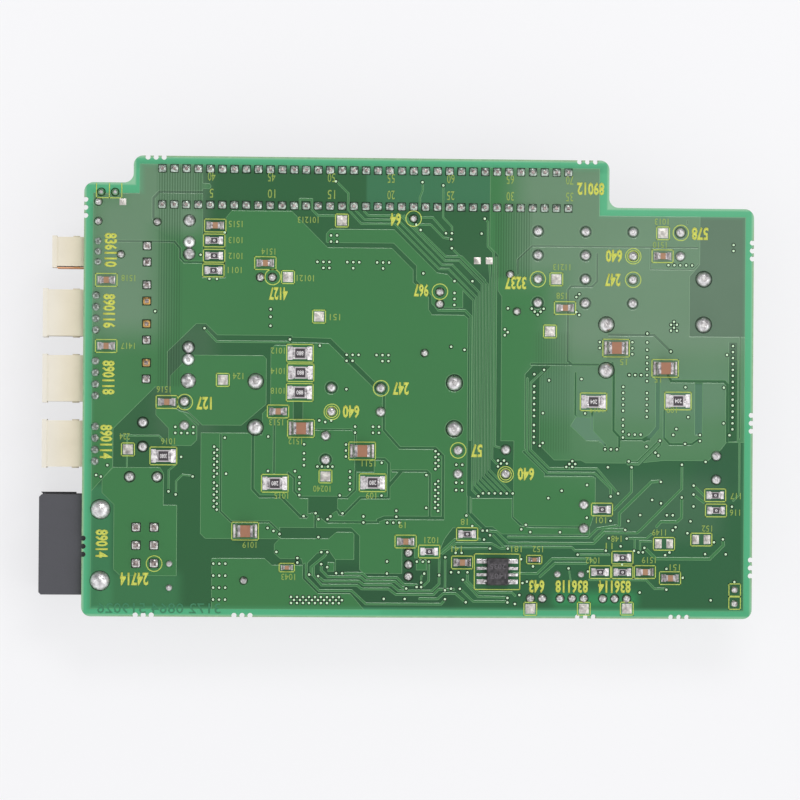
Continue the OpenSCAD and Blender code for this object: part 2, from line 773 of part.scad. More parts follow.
module choke_cores() {
    color([0.22, 0.22, 0.23]) translate(shift) for (p = choke_at) at(p) difference() {
        union() {
            for (z = [rest_h - choke_h, rest_h - 0.3 - flange_t])
                translate([0, 0, z]) rotate_extrude() union() {
                    square([choke_d / 2 - 0.3, flange_t]);
                    translate([0, 0.3]) square([choke_d / 2, flange_t - 0.6]);
                    for (e = [0.3, flange_t - 0.3]) translate([choke_d / 2 - 0.3, e]) circle(0.3);
                }
            translate([0, 0, rest_h - choke_h + 0.2]) cylinder(h = choke_h - 0.7, d = core_d);
            // feet that keep the core off the board
            for (s = [-1, 1]) translate([s * choke_d / 4, 0, rest_h - 0.7]) cylinder(h = 0.7, d = 1.6);
        }
        // notches that the leads leave through
        for (y = row(2, choke_pitch)) translate([0, y, rest_h - flange_t - 1]) {
            cylinder(h = flange_t + 2, d = choke_lead + 0.3);
            translate([-(choke_lead + 0.3) / 2, y > 0 ? 0 : -4, 0])
                cube([choke_lead + 0.3, 4, flange_t + 2]);
        }
    }
}

module choke_windings() {
    room = choke_h - 2 * flange_t - 0.3;
    turns = floor(room / wire_d);
    pitch = room / turns;
    r = coil_d / 2 - wire_d / 2;
    color([0.72, 0.4, 0.2]) translate(shift) for (p = choke_at) at(p)
        translate([0, 0, rest_h - choke_h + flange_t]) rotate_extrude() union() {
            translate([core_d / 2, 0]) square([r - core_d / 2, room]);
            for (i = [0 : turns - 1]) translate([r, (i + 0.5) * pitch]) circle(d = wire_d, $fn = 32);
        }
}

module choke_leads() {
    color([0.75, 0.5, 0.3]) translate(shift) for (p = choke_pins)
        translate([p[0], p[1], rest_h - 0.3 - flange_t])
            cylinder(h = 0.3 + flange_t + board_t + 1.2, d = choke_lead);
}

module choke_joints() {
    color([0.8, 0.8, 0.82]) translate(shift)
        for (p = choke_pins) translate([p[0], p[1], top_z]) round_joint(joint_l, rise_l, choke_lead);
}

// ---- the moulded line filters ----

module line_filter_blocks() {
    color([0.14, 0.2, 0.36]) translate(shift) for (i = [0, 1]) at(block_at[i]) difference() {
        union() {
            translate([0, 0, rest_h - block_h]) linear_extrude(block_h - 0.5)
                rounded_rect(block_w, block_l, 0.7);
            // stand-off ribs
            for (s = [-1, 1]) translate([s * (block_w / 2 - 0.6), 0, rest_h - 0.75])
                cube([1.2, block_l - 1.6, 1.5], center = true);
        }
        for (l = block_leads[i]) translate([0, l * grid, rest_h - block_lead_in])
            cylinder(h = block_lead_in + 2, d = block_lead);
    }
}

module line_filter_leads() {
    color("silver") translate(shift) for (p = block_pins)
        translate([p[0], p[1], rest_h - block_lead_in])
            cylinder(h = block_lead_in + board_t + rise_f + 0.05, d = block_lead);
}

module line_filter_joints() {
    color([0.8, 0.8, 0.82]) translate(shift)
        for (i = [0 : len(block_pins) - 1]) translate([block_pins[i][0], block_pins[i][1], top_z])
            round_joint(i == len(block_pins) - 1 ? joint_w : joint_f, rise_f, block_lead);
}

// ---- four plug-in fuses in a row ----

module each_fuse() {
    for (i = [0 : fuse_count - 1]) translate(on_grid(fuse_at) + [0, i * fuse_step]) children();
}

module fuse_holders() {
    color([0.18, 0.18, 0.19]) translate(shift) each_fuse() difference() {
        translate([0, 0, rest_h - fuse_h]) linear_extrude(fuse_h) rounded_rect(fuse_w, fuse_l, 0.4);
        translate([0, 0, rest_h - fuse_h - 1]) linear_extrude(1 + fuse_seat)
            square([fuse_w - 1.6, fuse_l - 1.4], center = true);
        for (y = row(2, fuse_pitch)) translate([0, y, 0])
            square_bar(fuse_pin + 2 * pin_fit, rest_h - fuse_h - 1, rest_h + 1);
    }
}

module fuse_bodies() {
    color([0.75, 0.3, 0.2]) translate(shift) each_fuse() difference() {
        union() {
            translate([0, 0, rest_h - fuse_h]) linear_extrude(fuse_seat)
                rounded_rect(fuse_w - 1.8, fuse_l - 1.6, 0.3);
            translate([0, 0, rest_h - fuse_h - fuse_body]) linear_extrude(fuse_body)
                rounded_rect(fuse_w - 1, fuse_l - 0.6, 0.6);
        }
        translate([0, 0, rest_h - fuse_h - fuse_body]) linear_extrude(0.5)
            square([fuse_w - 2.4, fuse_l - 2.4], center = true);
    }
}

module fuse_terminals() {
    color("silver") translate(shift) for (p = fuse_pins) translate([p[0], p[1], 0])
        square_bar(fuse_pin, rest_h - fuse_h + fuse_seat, top_z + rise_s);
}

module fuse_joints() {
    color([0.8, 0.8, 0.82]) translate(shift)
        for (p = fuse_pins) translate([p[0], p[1], top_z]) pad_joint(joint_q, 0.9 * rise_s, fuse_pin);
}

// ---- surge absorbers and small discs, on two leads each ----

module disc(d, t, drop) {
    translate([0, 0, rest_h - drop]) rotate([90, 0, 0]) rotate_extrude() union() {
        translate([0, -t / 2]) square([d / 2 - t / 2, t]);
        translate([d / 2 - t / 2, 0]) circle(t / 2);
    }
}

module surge_absorber_discs() {
    color([0.8, 0.5, 0.15]) translate(shift) {
        for (s = disc_at) at(s) rotate([0, 0, s[2]]) disc(disc_d, disc_t, disc_drop);
        for (s = small_at) at(s) rotate([0, 0, s[2]]) disc(mini_d, mini_t, mini_drop);
    }
}

module surge_absorber_leads() {
    color("silver") translate(shift) {
        for (i = [0, 1], x = row(2, disc_pitch[i])) at(disc_at[i]) rotate([0, 0, disc_at[i][2]])
            stub(x, disc_d, disc_t, disc_drop);
        for (s = small_at, x = row(2, can_pitch)) at(s) rotate([0, 0, s[2]])
            stub(x, mini_d, mini_t, mini_drop);
    }
}

// A lead that starts inside the disc's outline and ends past the board
module stub(x, d, t, drop) {
    difference() {
        translate([x, 0, rest_h - drop]) cylinder(h = drop + board_t + 0.8, d = can_lead);
        disc(d, t, drop);
    }
}

module surge_absorber_joints() {
    color([0.8, 0.8, 0.82]) translate(shift) {
        for (p = disc_pins) translate([p[0], p[1], top_z]) round_joint(joint_m, rise_m, can_lead);
        for (p = small_pins) translate([p[0], p[1], top_z]) round_joint(1.5, 0.7, can_lead);
    }
}

// ---- bare pin strips and single test posts on the component side ----

module pin_strip_bases() {
    color([0.16, 0.16, 0.17]) translate(shift) for (s = strip_at) at(s) rotate([0, 0, s[3]])
        for (x = row(s[2], edge_pitch)) translate([x, 0, rest_h - base_h]) difference() {
            linear_extrude(base_h) rounded_rect(edge_pitch - 0.02, base_w, 0.5);
            square_bar(out_pin + 2 * pin_fit, -1, 4);
        }
}

module pin_strip_pins() {
    color([0.85, 0.72, 0.4]) translate(shift) for (p = strip_pins) translate([p[0], p[1], 0])
        square_bar(out_pin, rest_h - 8.5, top_z + 0.7);
}

module pin_strip_joints() {
    color([0.8, 0.8, 0.82]) translate(shift)
        for (p = strip_pins) translate([p[0], p[1], top_z]) square_joint(joint_s, rise_s, out_pin);
}

module test_posts() {
    color("silver") translate(shift) for (p = post_pins) translate([p[0], p[1], 0]) {
        translate([0, 0, rest_h - 5]) cylinder(h = 5 + board_t + 0.7, d = can_lead);
        translate([0, 0, rest_h - 0.5]) cylinder(h = 0.5, d = 1.3);
    }
}

module test_post_joints() {
    color([0.8, 0.8, 0.82]) translate(shift)
        for (p = concat(post_pins, lamp_pins))
            translate([p[0], p[1], top_z]) round_joint(1.6, 0.8, can_lead);
}

// ---- chip parts on the solder side ----

module chip_body(l, w, h, cap) {
    translate([-l / 2 + cap, -w / 2, 0.03]) cube([l - 2 * cap, w, h]);
}

// The metal end of a chip and the solder that runs from it down to the pad
module chip_ends(l, w, h, cap, fillet) {
    for (s = [0, 180]) rotate([0, 0, s]) {
        translate([l / 2 - cap, -w / 2, 0]) cube([cap, w, h + 0.05]);
        translate([l / 2, (w + 0.3) / 2, 0]) rotate([90, 0, 0]) linear_extrude(w + 0.3) difference() {
            polygon([[0, 0], [fillet, 0], [fillet, 0.08], [0, h]]);
            translate([fillet, h * 0.62]) circle(h * 0.45);
        }
    }
}

module all_at(list) {
    for (p = list) at(p, top_z) children();
}

module small_resistor_bodies() {
    color([0.22, 0.22, 0.23]) translate(shift)
        all_at(small_res_at) chip_body(chip_s_l, chip_s_w, res_h, 0.35);
}

module small_resistor_terminals() {
    color([0.8, 0.8, 0.8]) translate(shift)
        all_at(small_res_at) chip_ends(chip_s_l, chip_s_w, res_h, 0.35, fillet_s);
}

module small_capacitor_bodies() {
    color([0.66, 0.4, 0.26]) translate(shift) {
        all_at(small_cap_at) chip_body(chip_s_l, chip_s_w, cap_s_h, 0.45);
        all_at(tiny_cap_at) chip_body(1.6, 0.8, 0.8, 0.35);
    }
}

module small_capacitor_terminals() {
    color([0.8, 0.8, 0.8]) translate(shift) {
        all_at(small_cap_at) chip_ends(chip_s_l, chip_s_w, cap_s_h, 0.45, fillet_s);
        all_at(tiny_cap_at) chip_ends(1.6, 0.8, 0.8, 0.35, 0.45);
    }
}

module large_resistor_bodies() {
    color([0.15, 0.15, 0.16]) translate(shift)
        all_at(large_res_at) chip_body(chip_l_l, chip_l_w, res_h, 0.5);
}

module large_resistor_terminals() {
    color([0.8, 0.8, 0.8]) translate(shift)
        all_at(large_res_at) chip_ends(chip_l_l, chip_l_w, res_h, 0.5, fillet_l);
}

module large_capacitor_bodies() {
    color([0.62, 0.34, 0.22]) translate(shift)
        all_at(large_cap_at) chip_body(chip_l_l, chip_l_w, cap_h, 0.55);
}

module large_capacitor_terminals() {
    color([0.8, 0.8, 0.8]) translate(shift)
        all_at(large_cap_at) chip_ends(chip_l_l, chip_l_w, cap_h, 0.55, fillet_l);
}

// ---- chips with gull-wing leads ----

// A moulded body whose four sides slope away from the parting line
module moulded_body(w, l, h) {
    s = 0.2;
    intersection() {
        rotate([90, 0, 0]) linear_extrude(2 * l, center = true) polygon([
            [-w / 2 + s, 0.1], [w / 2 - s, 0.1], [w / 2, 0.1 + h / 2],
            [w / 2 - s, 0.1 + h], [-w / 2 + s, 0.1 + h], [-w / 2, 0.1 + h / 2]
        ]);
        rotate([90, 0, 90]) linear_extrude(2 * w, center = true) polygon([
            [-l / 2 + s, 0.1], [l / 2 - s, 0.1], [l / 2, 0.1 + h / 2],
            [l / 2 - s, 0.1 + h], [-l / 2 + s, 0.1 + h], [-l / 2, 0.1 + h / 2]
        ]);
    }
}

module gull_leads(n, w, h, reach, pitch = lead_pitch) {
    t = lead_t;
    z = 0.1 + h / 2 - t / 2;
    for (s = [0, 180]) rotate([0, 0, s]) for (y = row(n, pitch))
        translate([w / 2, y + lead_w / 2, 0]) rotate([90, 0, 0]) linear_extrude(lead_w) polygon([
            [0, z], [reach * 0.3, z], [reach * 0.5, 0], [reach, 0],
            [reach, t], [reach * 0.5 + 0.7 * t, t], [reach * 0.3 + 0.7 * t, z + t], [0, z + t]
        ]);
}

module interface_chip_body() {
    color([0.16, 0.16, 0.17]) translate(shift) at(soic_at, top_z) moulded_body(chip_w, chip_l, soic_h);
}

module interface_chip_leads() {
    color("silver") translate(shift) at(soic_at, top_z)
        gull_leads(4, chip_w, soic_h, chip_reach, chip_pitch);
}

// Chips that hang under the board
module under(list) {
    for (p = list) at(p, rest_h) mirror([0, 0, 1]) children();
}

module underside_chip_bodies() {
    color([0.16, 0.16, 0.17]) translate(shift) {
        under(control_at) moulded_body(ctrl_w, ctrl_l, ctrl_h);
        under(power_at) moulded_body(soic_w, soic_l, soic_h);
    }
}

module underside_chip_leads() {
    color("silver") translate(shift) {
        under(control_at) gull_leads(8, ctrl_w, ctrl_h, 1.4);
        under(power_at) gull_leads(4, soic_w, soic_h, soic_reach);
    }
}

// ---- two small indicator lamps at the shoulder of the board ----

module indicator_lamps() {
    color([0.75, 0.2, 0.15]) translate(shift) for (p = lamp_pins) translate([p[0], p[1], 0])
        difference() {
            union() {
                translate([0, 0, rest_h - lamp_h + lamp_w / 2]) sphere(d = lamp_w);
                translate([0, 0, rest_h - lamp_h + lamp_w / 2])
                    cylinder(h = lamp_h - lamp_w / 2, d = lamp_w);
            }
            translate([0, 0, rest_h - 1.5]) cylinder(h = 3, d = can_lead);
        }
}

module indicator_lamp_leads() {
    color("silver") translate(shift) for (p = lamp_pins) translate([p[0], p[1], rest_h - 1.5])
        cylinder(h = 1.5 + board_t + 0.6, d = can_lead);
}

board();
main_connector_housing();
main_connector_contacts();
main_connector_joints();
power_inlet_housing();
power_inlet_pins();
power_inlet_joints();
board_locks();
board_lock_joints();
output_header_lower();
output_header_middle();
output_header_upper();
output_header_pins();
output_header_joints();
signal_header_housing();
signal_header_pins();
signal_header_joints();
signal_header_strip();
edge_header_left();
edge_header_middle();
edge_header_right();
edge_header_pins();
edge_header_joints();
filter_capacitor_cans();
filter_capacitor_seals();
filter_capacitor_leads();
filter_capacitor_joints();
choke_cores();
choke_windings();
choke_leads();
choke_joints();
line_filter_blocks();
line_filter_leads();
line_filter_joints();
fuse_holders();
fuse_bodies();
fuse_terminals();
fuse_joints();
surge_absorber_discs();
surge_absorber_leads();
surge_absorber_joints();
pin_strip_bases();
pin_strip_pins();
pin_strip_joints();
test_posts();
test_post_joints();
small_resistor_bodies();
small_resistor_terminals();
small_capacitor_bodies();
small_capacitor_terminals();
large_resistor_bodies();
large_resistor_terminals();
large_capacitor_bodies();
large_capacitor_terminals();
interface_chip_body();
interface_chip_leads();
underside_chip_bodies();
underside_chip_leads();
indicator_lamps();
indicator_lamp_leads();
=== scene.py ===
# Control and power supply board of an industrial controller, solder side up.
import math

import bmesh
import bpy
from mathutils import Matrix, Vector
from mathutils.geometry import delaunay_2d_cdt


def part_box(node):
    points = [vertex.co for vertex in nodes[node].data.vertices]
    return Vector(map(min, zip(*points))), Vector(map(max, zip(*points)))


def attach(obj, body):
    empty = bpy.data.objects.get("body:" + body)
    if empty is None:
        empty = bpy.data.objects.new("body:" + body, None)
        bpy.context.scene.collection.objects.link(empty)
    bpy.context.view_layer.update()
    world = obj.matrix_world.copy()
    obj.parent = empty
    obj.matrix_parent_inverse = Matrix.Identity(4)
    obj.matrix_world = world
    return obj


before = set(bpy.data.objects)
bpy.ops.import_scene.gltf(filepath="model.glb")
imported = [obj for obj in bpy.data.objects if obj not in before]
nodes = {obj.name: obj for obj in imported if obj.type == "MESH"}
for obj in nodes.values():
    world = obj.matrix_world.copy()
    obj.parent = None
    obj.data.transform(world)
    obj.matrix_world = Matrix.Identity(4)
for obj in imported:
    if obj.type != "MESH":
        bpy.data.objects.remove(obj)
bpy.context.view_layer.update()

# ---------------------------------------------------------------- studio
# The board lies on a white sweep. A long lens hangs over it, a little to the left of its middle.
# A soft box at the far side draws the edges of the copper, and the room gives the even light.
scene = bpy.context.scene
scene.view_settings.view_transform = "Standard"


def put(name, data):
    """A new object in the scene."""
    made = bpy.data.objects.new(name, data)
    scene.collection.objects.link(made)
    return made


def feed(net, made, inputs):
    """Links or sets the inputs of a node, each called by its name or number."""
    for key, value in inputs.items():
        if isinstance(value, bpy.types.NodeSocket):
            net.links.new(value, made.inputs[key])
        elif value is not None:
            made.inputs[key].default_value = value
    return made


def tool(net, kind, *feeds, named=None, **own):
    """A new node: its inputs in order, then those called by name, and settings of its own."""
    made = net.nodes.new(kind)
    for key, value in own.items():
        setattr(made, key, value)
    return feed(net, made, {**dict(enumerate(feeds)), **(named or {})})


def sums(net, op, a, b=0.0, c=0.0):
    return tool(net, "ShaderNodeMath", a, b, c, operation=op).outputs[0]


def bare_net(owner):
    """The emptied nodes of the world or of a material."""
    owner.use_nodes = True
    owner.node_tree.nodes.clear()
    return owner.node_tree


def by_ray(net, factor, first, second, kind):
    """Two lights mixed, as what the world or a material gives."""
    both = tool(net, "ShaderNodeMixShader", factor, first.outputs[0], second.outputs[0])
    tool(net, kind, both.outputs[0])


lens = bpy.data.cameras.new("camera")
lens.lens, lens.sensor_width = 169.73, 36.0
lens.clip_start, lens.clip_end = 0.05, 10.0
camera = put("camera", lens)
camera.location = (-0.04511, -0.00872, 0.8176)
camera.rotation_euler = [math.radians(a) for a in (0.4162, -3.2588, 0.4069)]
scene.camera = camera

# the room is brighter at the horizon and beyond the lower edge of the board
room = bpy.data.worlds.new("room")
scene.world = room
net = bare_net(room)
seen_by_lens = tool(net, "ShaderNodeLightPath").outputs["Is Camera Ray"]
way = tool(net, "ShaderNodeSeparateXYZ", tool(net, "ShaderNodeTexCoord").outputs["Generated"])
rise = tool(net, "ShaderNodeMapRange", way.outputs["Z"], named={
    "From Min": 0.55, "From Max": 0.98, "To Min": 0.80, "To Max": 0.42})
lean = sums(net, "MULTIPLY_ADD", way.outputs["Y"], -0.60, 1.0)
level = sums(net, "MULTIPLY", rise.outputs[0], lean)
light = tool(net, "ShaderNodeBackground", (0.965, 0.975, 1.0, 1), level)
backdrop = tool(net, "ShaderNodeBackground", (0.89, 0.895, 0.91, 1))
by_ray(net, seen_by_lens, light, backdrop, "ShaderNodeOutputWorld")

# each light: its place, what it points at, its size and its power
for name, at, aim, size, watts in (
        ("far_soft_box", (0.10, 0.42, 0.62), (0, 0, 0), (0.34, 0.22), 1.6),
        ("right_soft_box", (0.85, -0.12, 0.95), (0, 0, 0), (1.0, 1.0), 3.7),
        ("left_soft_box", (-0.80, -0.10, 0.80), (0, 0, 0), (0.7, 0.9), 1.1),
        ("left_card", (-0.088, 0.030, 0.43), (-0.05, 0.02, 0), (0.030, 0.075), 0.012),
        ("right_card", (0.115, 0.045, 0.43), (0.06, 0.03, 0), (0.060, 0.060), 0.018)):
    lamp = bpy.data.lights.new(name, "AREA")
    lamp.shape = "RECTANGLE"
    lamp.size, lamp.size_y = size
    lamp.energy = watts
    holder = put(name, lamp)
    holder.location = at
    holder.rotation_euler = (Vector(aim) - Vector(at)).to_track_quat("-Z", "Y").to_euler()

sweep = bpy.data.meshes.new("sweep")
sweep.from_pydata([(-3, -3, 0), (3, -3, 0), (3, 3, 0), (-3, 3, 0)], [], [(0, 1, 2, 3)])
floor = put("sweep", sweep)
white = bpy.data.materials.new("white_sweep")
net = bare_net(white)
seen_by_lens = tool(net, "ShaderNodeLightPath").outputs["Is Camera Ray"]
matt = tool(net, "ShaderNodeBsdfDiffuse", (0.86, 0.855, 0.865, 1))
glow = tool(net, "ShaderNodeEmission", (0.95, 0.95, 0.965, 1))
by_ray(net, sums(net, "MULTIPLY", seen_by_lens, 0.72), matt, glow, "ShaderNodeOutputMaterial")
sweep.materials.append(white)

# ---------------------------------------------------------------- laminate
# The core of the board: 1.6 mm of woven glass cloth in resin, routed to its outline and drilled.
# Its cut edges show the pale cloth, and its component side carries the same green lacquer.
GRAIN_DEPTH = 0.00005


def shade(r, g, b):
    """A display colour, 0 to 255, as the linear value that a shader takes."""
    return (*(((c / 255 + 0.055) / 1.055) ** 2.4 if c > 10 else c / 3294 for c in (r, g, b)), 1.0)


def noise(net, at, scale, detail):
    return tool(net, "ShaderNodeTexNoise", named={
        "Vector": at, "Scale": scale, "Detail": detail}).outputs["Fac"]


def blend(net, factor, a, b):
    """From colour a to colour b as the factor goes from 0 to 1."""
    return tool(net, "ShaderNodeMix", named={"Factor": factor, "A": a, "B": b},
                data_type="RGBA").outputs["Result"]


def slope(net, value, a, b, low=0.0, high=1.0):
    """Goes softly from low to high as the value goes from a to b."""
    return tool(net, "ShaderNodeMapRange", value, a, b, low, high,
                interpolation_type="SMOOTHSTEP").outputs[0]


def relief(net, height, strength, depth, under=None):
    """The way a surface leans where its height changes, over another relief if there is one."""
    return tool(net, "ShaderNodeBump", named={
        "Strength": strength, "Distance": depth, "Height": height, "Normal": under}).outputs[0]


def finish(name, colour, rough, metal=0.0, vary=0.08, grain=600.0, bump=0.05, coat=0.0,
           second=None, stretch=(1, 1, 1), washout=None, spots=(), patch=0.0, lump=0.0):
    """A fine-grained surface: its colour, gloss and height all drift a little over the piece."""
    made = bpy.data.materials.new(name)
    made.use_nodes = True
    net = made.node_tree
    where = tool(net, "ShaderNodeTexCoord").outputs["Object"]
    turned = tool(net, "ShaderNodeMapping", named={"Vector": where, "Scale": stretch}).outputs[0]
    coarse, fine = noise(net, turned, grain, 4), noise(net, turned, grain * 7, 2)
    drift, waves = coarse, None
    if patch:
        # the grain gathers to patches with clear borders
        drift = tool(net, "ShaderNodeMapRange", coarse, 0.5 - patch, 0.5 + patch).outputs[0]
    if lump:
        # and the surface is lumpy
        waves = relief(net, coarse, 1.0, lump)
    dark, light = (Vector(shade(*c)[:3]) for c in (colour, second or colour))
    paint = blend(net, drift, (*(dark * (1 - vary)), 1), (*(light * (1 + vary)), 1))
    if washout or spots:
        place = tool(net, "ShaderNodeSeparateXYZ", where).outputs
    if washout:
        # another colour that comes in along X, used as a painted washout of light
        start, stop, other = washout
        paint = blend(net, slope(net, place["X"], start, stop), paint, shade(*other))
    for middle, half, other in spots:
        # and others in bands of Y
        away = sums(net, "ABSOLUTE", sums(net, "SUBTRACT", place["Y"], middle))
        paint = blend(net, slope(net, away, half, half * 0.9), paint, shade(*other))
    gloss = tool(net, "ShaderNodeMapRange", coarse, 0.3, 0.7,
                 max(0.03, rough * 0.8), min(1.0, rough * 1.25)).outputs[0]
    feed(net, net.nodes["Principled BSDF"], {
        "Base Color": paint, "Metallic": metal, "Roughness": gloss, "Coat Weight": coat,
        "Normal": relief(net, fine, bump, GRAIN_DEPTH, waves)})
    return made


def dress(material, *names):
    for n in names:
        mesh = nodes[n].data
        mesh.materials.clear()
        mesh.materials.append(material)


dress(finish("glass_cloth_laminate", (112, 158, 118), 0.5, vary=0.10, grain=900, bump=0.25,
             second=(150, 185, 140), stretch=(1, 1, 6)), "board")

# ---------------------------------------------------------------- copper under green lacquer
# The outer copper layer, etched to pours and tracks, and the green lacquer that runs over it.
# Copper shows as a raised, lighter green, and the bare laminate between as a lower, darker one.
STEP = 0.635
LEFT, LOWER = -66.9, -48.95
SKIN_FOOT, SKIN_FLOOR, SKIN_TOP = 17.59, 17.612, 17.646
EDGE, DARK_SURROUND_EDGE = 0.05, 0.018
MITRE, CHAMFER = 0.35, 0.45
BITE, BITE_IN, BITE_STEP, BITE_TURN = 0.57, 0.3, 1.7, 30.5


def spot(k, l):
    """A place on the 25-thousandths grid, in mm."""
    return (LEFT + STEP * k, LOWER + STEP * l)


def lane(points):
    return [spot(k, l) for k, l in points]


def turning(loop):
    """Twice the area inside a closed line, above 0 where it runs anticlockwise."""
    return sum(a[0] * b[1] - b[0] * a[1] for a, b in zip(loop, loop[1:] + loop[:1]))


def corner_shift(u, v):
    """How a corner between two ways moves to the right when both sides move by one."""
    m = Vector((u.y, -u.x)) + Vector((v.y, -v.x))
    return m / max(m.length_squared / 2, MITRE)


def offset(loop, d):
    """A closed line moved outwards by d, with sharp corners."""
    d = d if turning(loop) > 0 else -d
    out = []
    for i, p in enumerate(loop):
        a, b = Vector(loop[i - 1]), Vector(loop[(i + 1) % len(loop)])
        m = corner_shift((Vector(p) - a).normalized(), (b - Vector(p)).normalized())
        out.append((p[0] + m.x * d, p[1] + m.y * d))
    return out


def stroke(points, half):
    """The outline of a line of that half width, with chamfered ends."""
    pts = [Vector(p) for p in points]
    left, right = [], []
    for i, p in enumerate(pts):
        back = (p - pts[i - 1]).normalized() if i else None
        on = (pts[i + 1] - p).normalized() if i < len(pts) - 1 else None
        if back and on:
            m = corner_shift(back, on) * half
            left.append(p - m)
            right.append(p + m)
            continue
        out = back or -on
        side = Vector((-on.y, on.x) if on else (-back.y, back.x)) * half
        ends = [(p + out * half * CHAMFER, side), (p + out * half, side * CHAMFER)]
        for c, s in ends if back else ends[::-1]:
            left.append(c + s)
            right.append(c - s)
    return [(q.x, q.y) for q in left + right[::-1]]


def disc(centre, radius, sides=16):
    angles = [2 * math.pi * (i + 0.5) / sides for i in range(sides)]
    return [(centre[0] + radius * math.cos(a), centre[1] + radius * math.sin(a)) for a in angles]


def turned_corner(c, radius, a0, a1, parts=6):
    angles = [math.radians(a0 + (a1 - a0) * i / parts) for i in range(parts + 1)]
    return [(c[0] + radius * math.cos(a), c[1] + radius * math.sin(a)) for a in angles]


def bitten_edge(p, q, middles):
    """Points from p to q along one edge, with three round bites about each middle."""
    p, q = Vector(p), Vector(q)
    run = (q - p).normalized()
    inward = Vector((-run.y, run.x))
    out = []
    for s in sorted(m + i * BITE_STEP for m in middles for i in (-1, 0, 1)):
        centre = p + run * s + inward * BITE_IN
        for a in range(-4, 5):
            t = math.radians(a * BITE_TURN)
            v = centre + (inward * math.cos(t) + run * math.sin(t)) * BITE
            if (v - p).dot(inward) >= -0.001:
                out.append((v.x, v.y))
    return out


X0, X1, Y0, Y1, TAB, SHOULDER = -66.78, 75.88, -48.78, 38.73, 48.78, 43.03
TAB0, TAB1, R = -56.38, 44.78, 2.0
outline = turned_corner((X0 + R, Y0 + R), R, 180, 270)
outline += bitten_edge((X0, Y0), (X1, Y0), (13.1, 34, 107.1, 127.1))
outline += turned_corner((X1 - R, Y0 + R), R, 270, 360)
outline += bitten_edge((X1, Y0), (X1, Y1), (10.9, 41.8, 78.65))
outline += turned_corner((X1 - R, Y1 - R), R, 0, 90)
outline += turned_corner((TAB1 + R, Y1 + R), R, 270, 180)
outline += turned_corner((TAB1 - R, TAB - R), R, 0, 90)
outline += bitten_edge((TAB1, TAB), (TAB0, TAB), (4.7, 96.5))
outline += turned_corner((TAB0 + R, TAB - R), R, 90, 180)
outline += turned_corner((TAB0 - R, SHOULDER + R), R, 360, 270)
outline += turned_corner((X0 + R, SHOULDER - R), R, 90, 180)
outline += bitten_edge((X0, SHOULDER), (X0, Y0), (SHOULDER - Y0 - 86.5, SHOULDER - Y0 - 14.8))

# Where copper may lie: the margin round it stays bare and lets the light through.
copper_field = [(3.2, 2.9), (222, 2.9), (222, 135.3), (172.6, 135.3), (172.6, 151.1),
                (18.6, 151.1), (18.6, 141.3), (3.2, 141.3)]

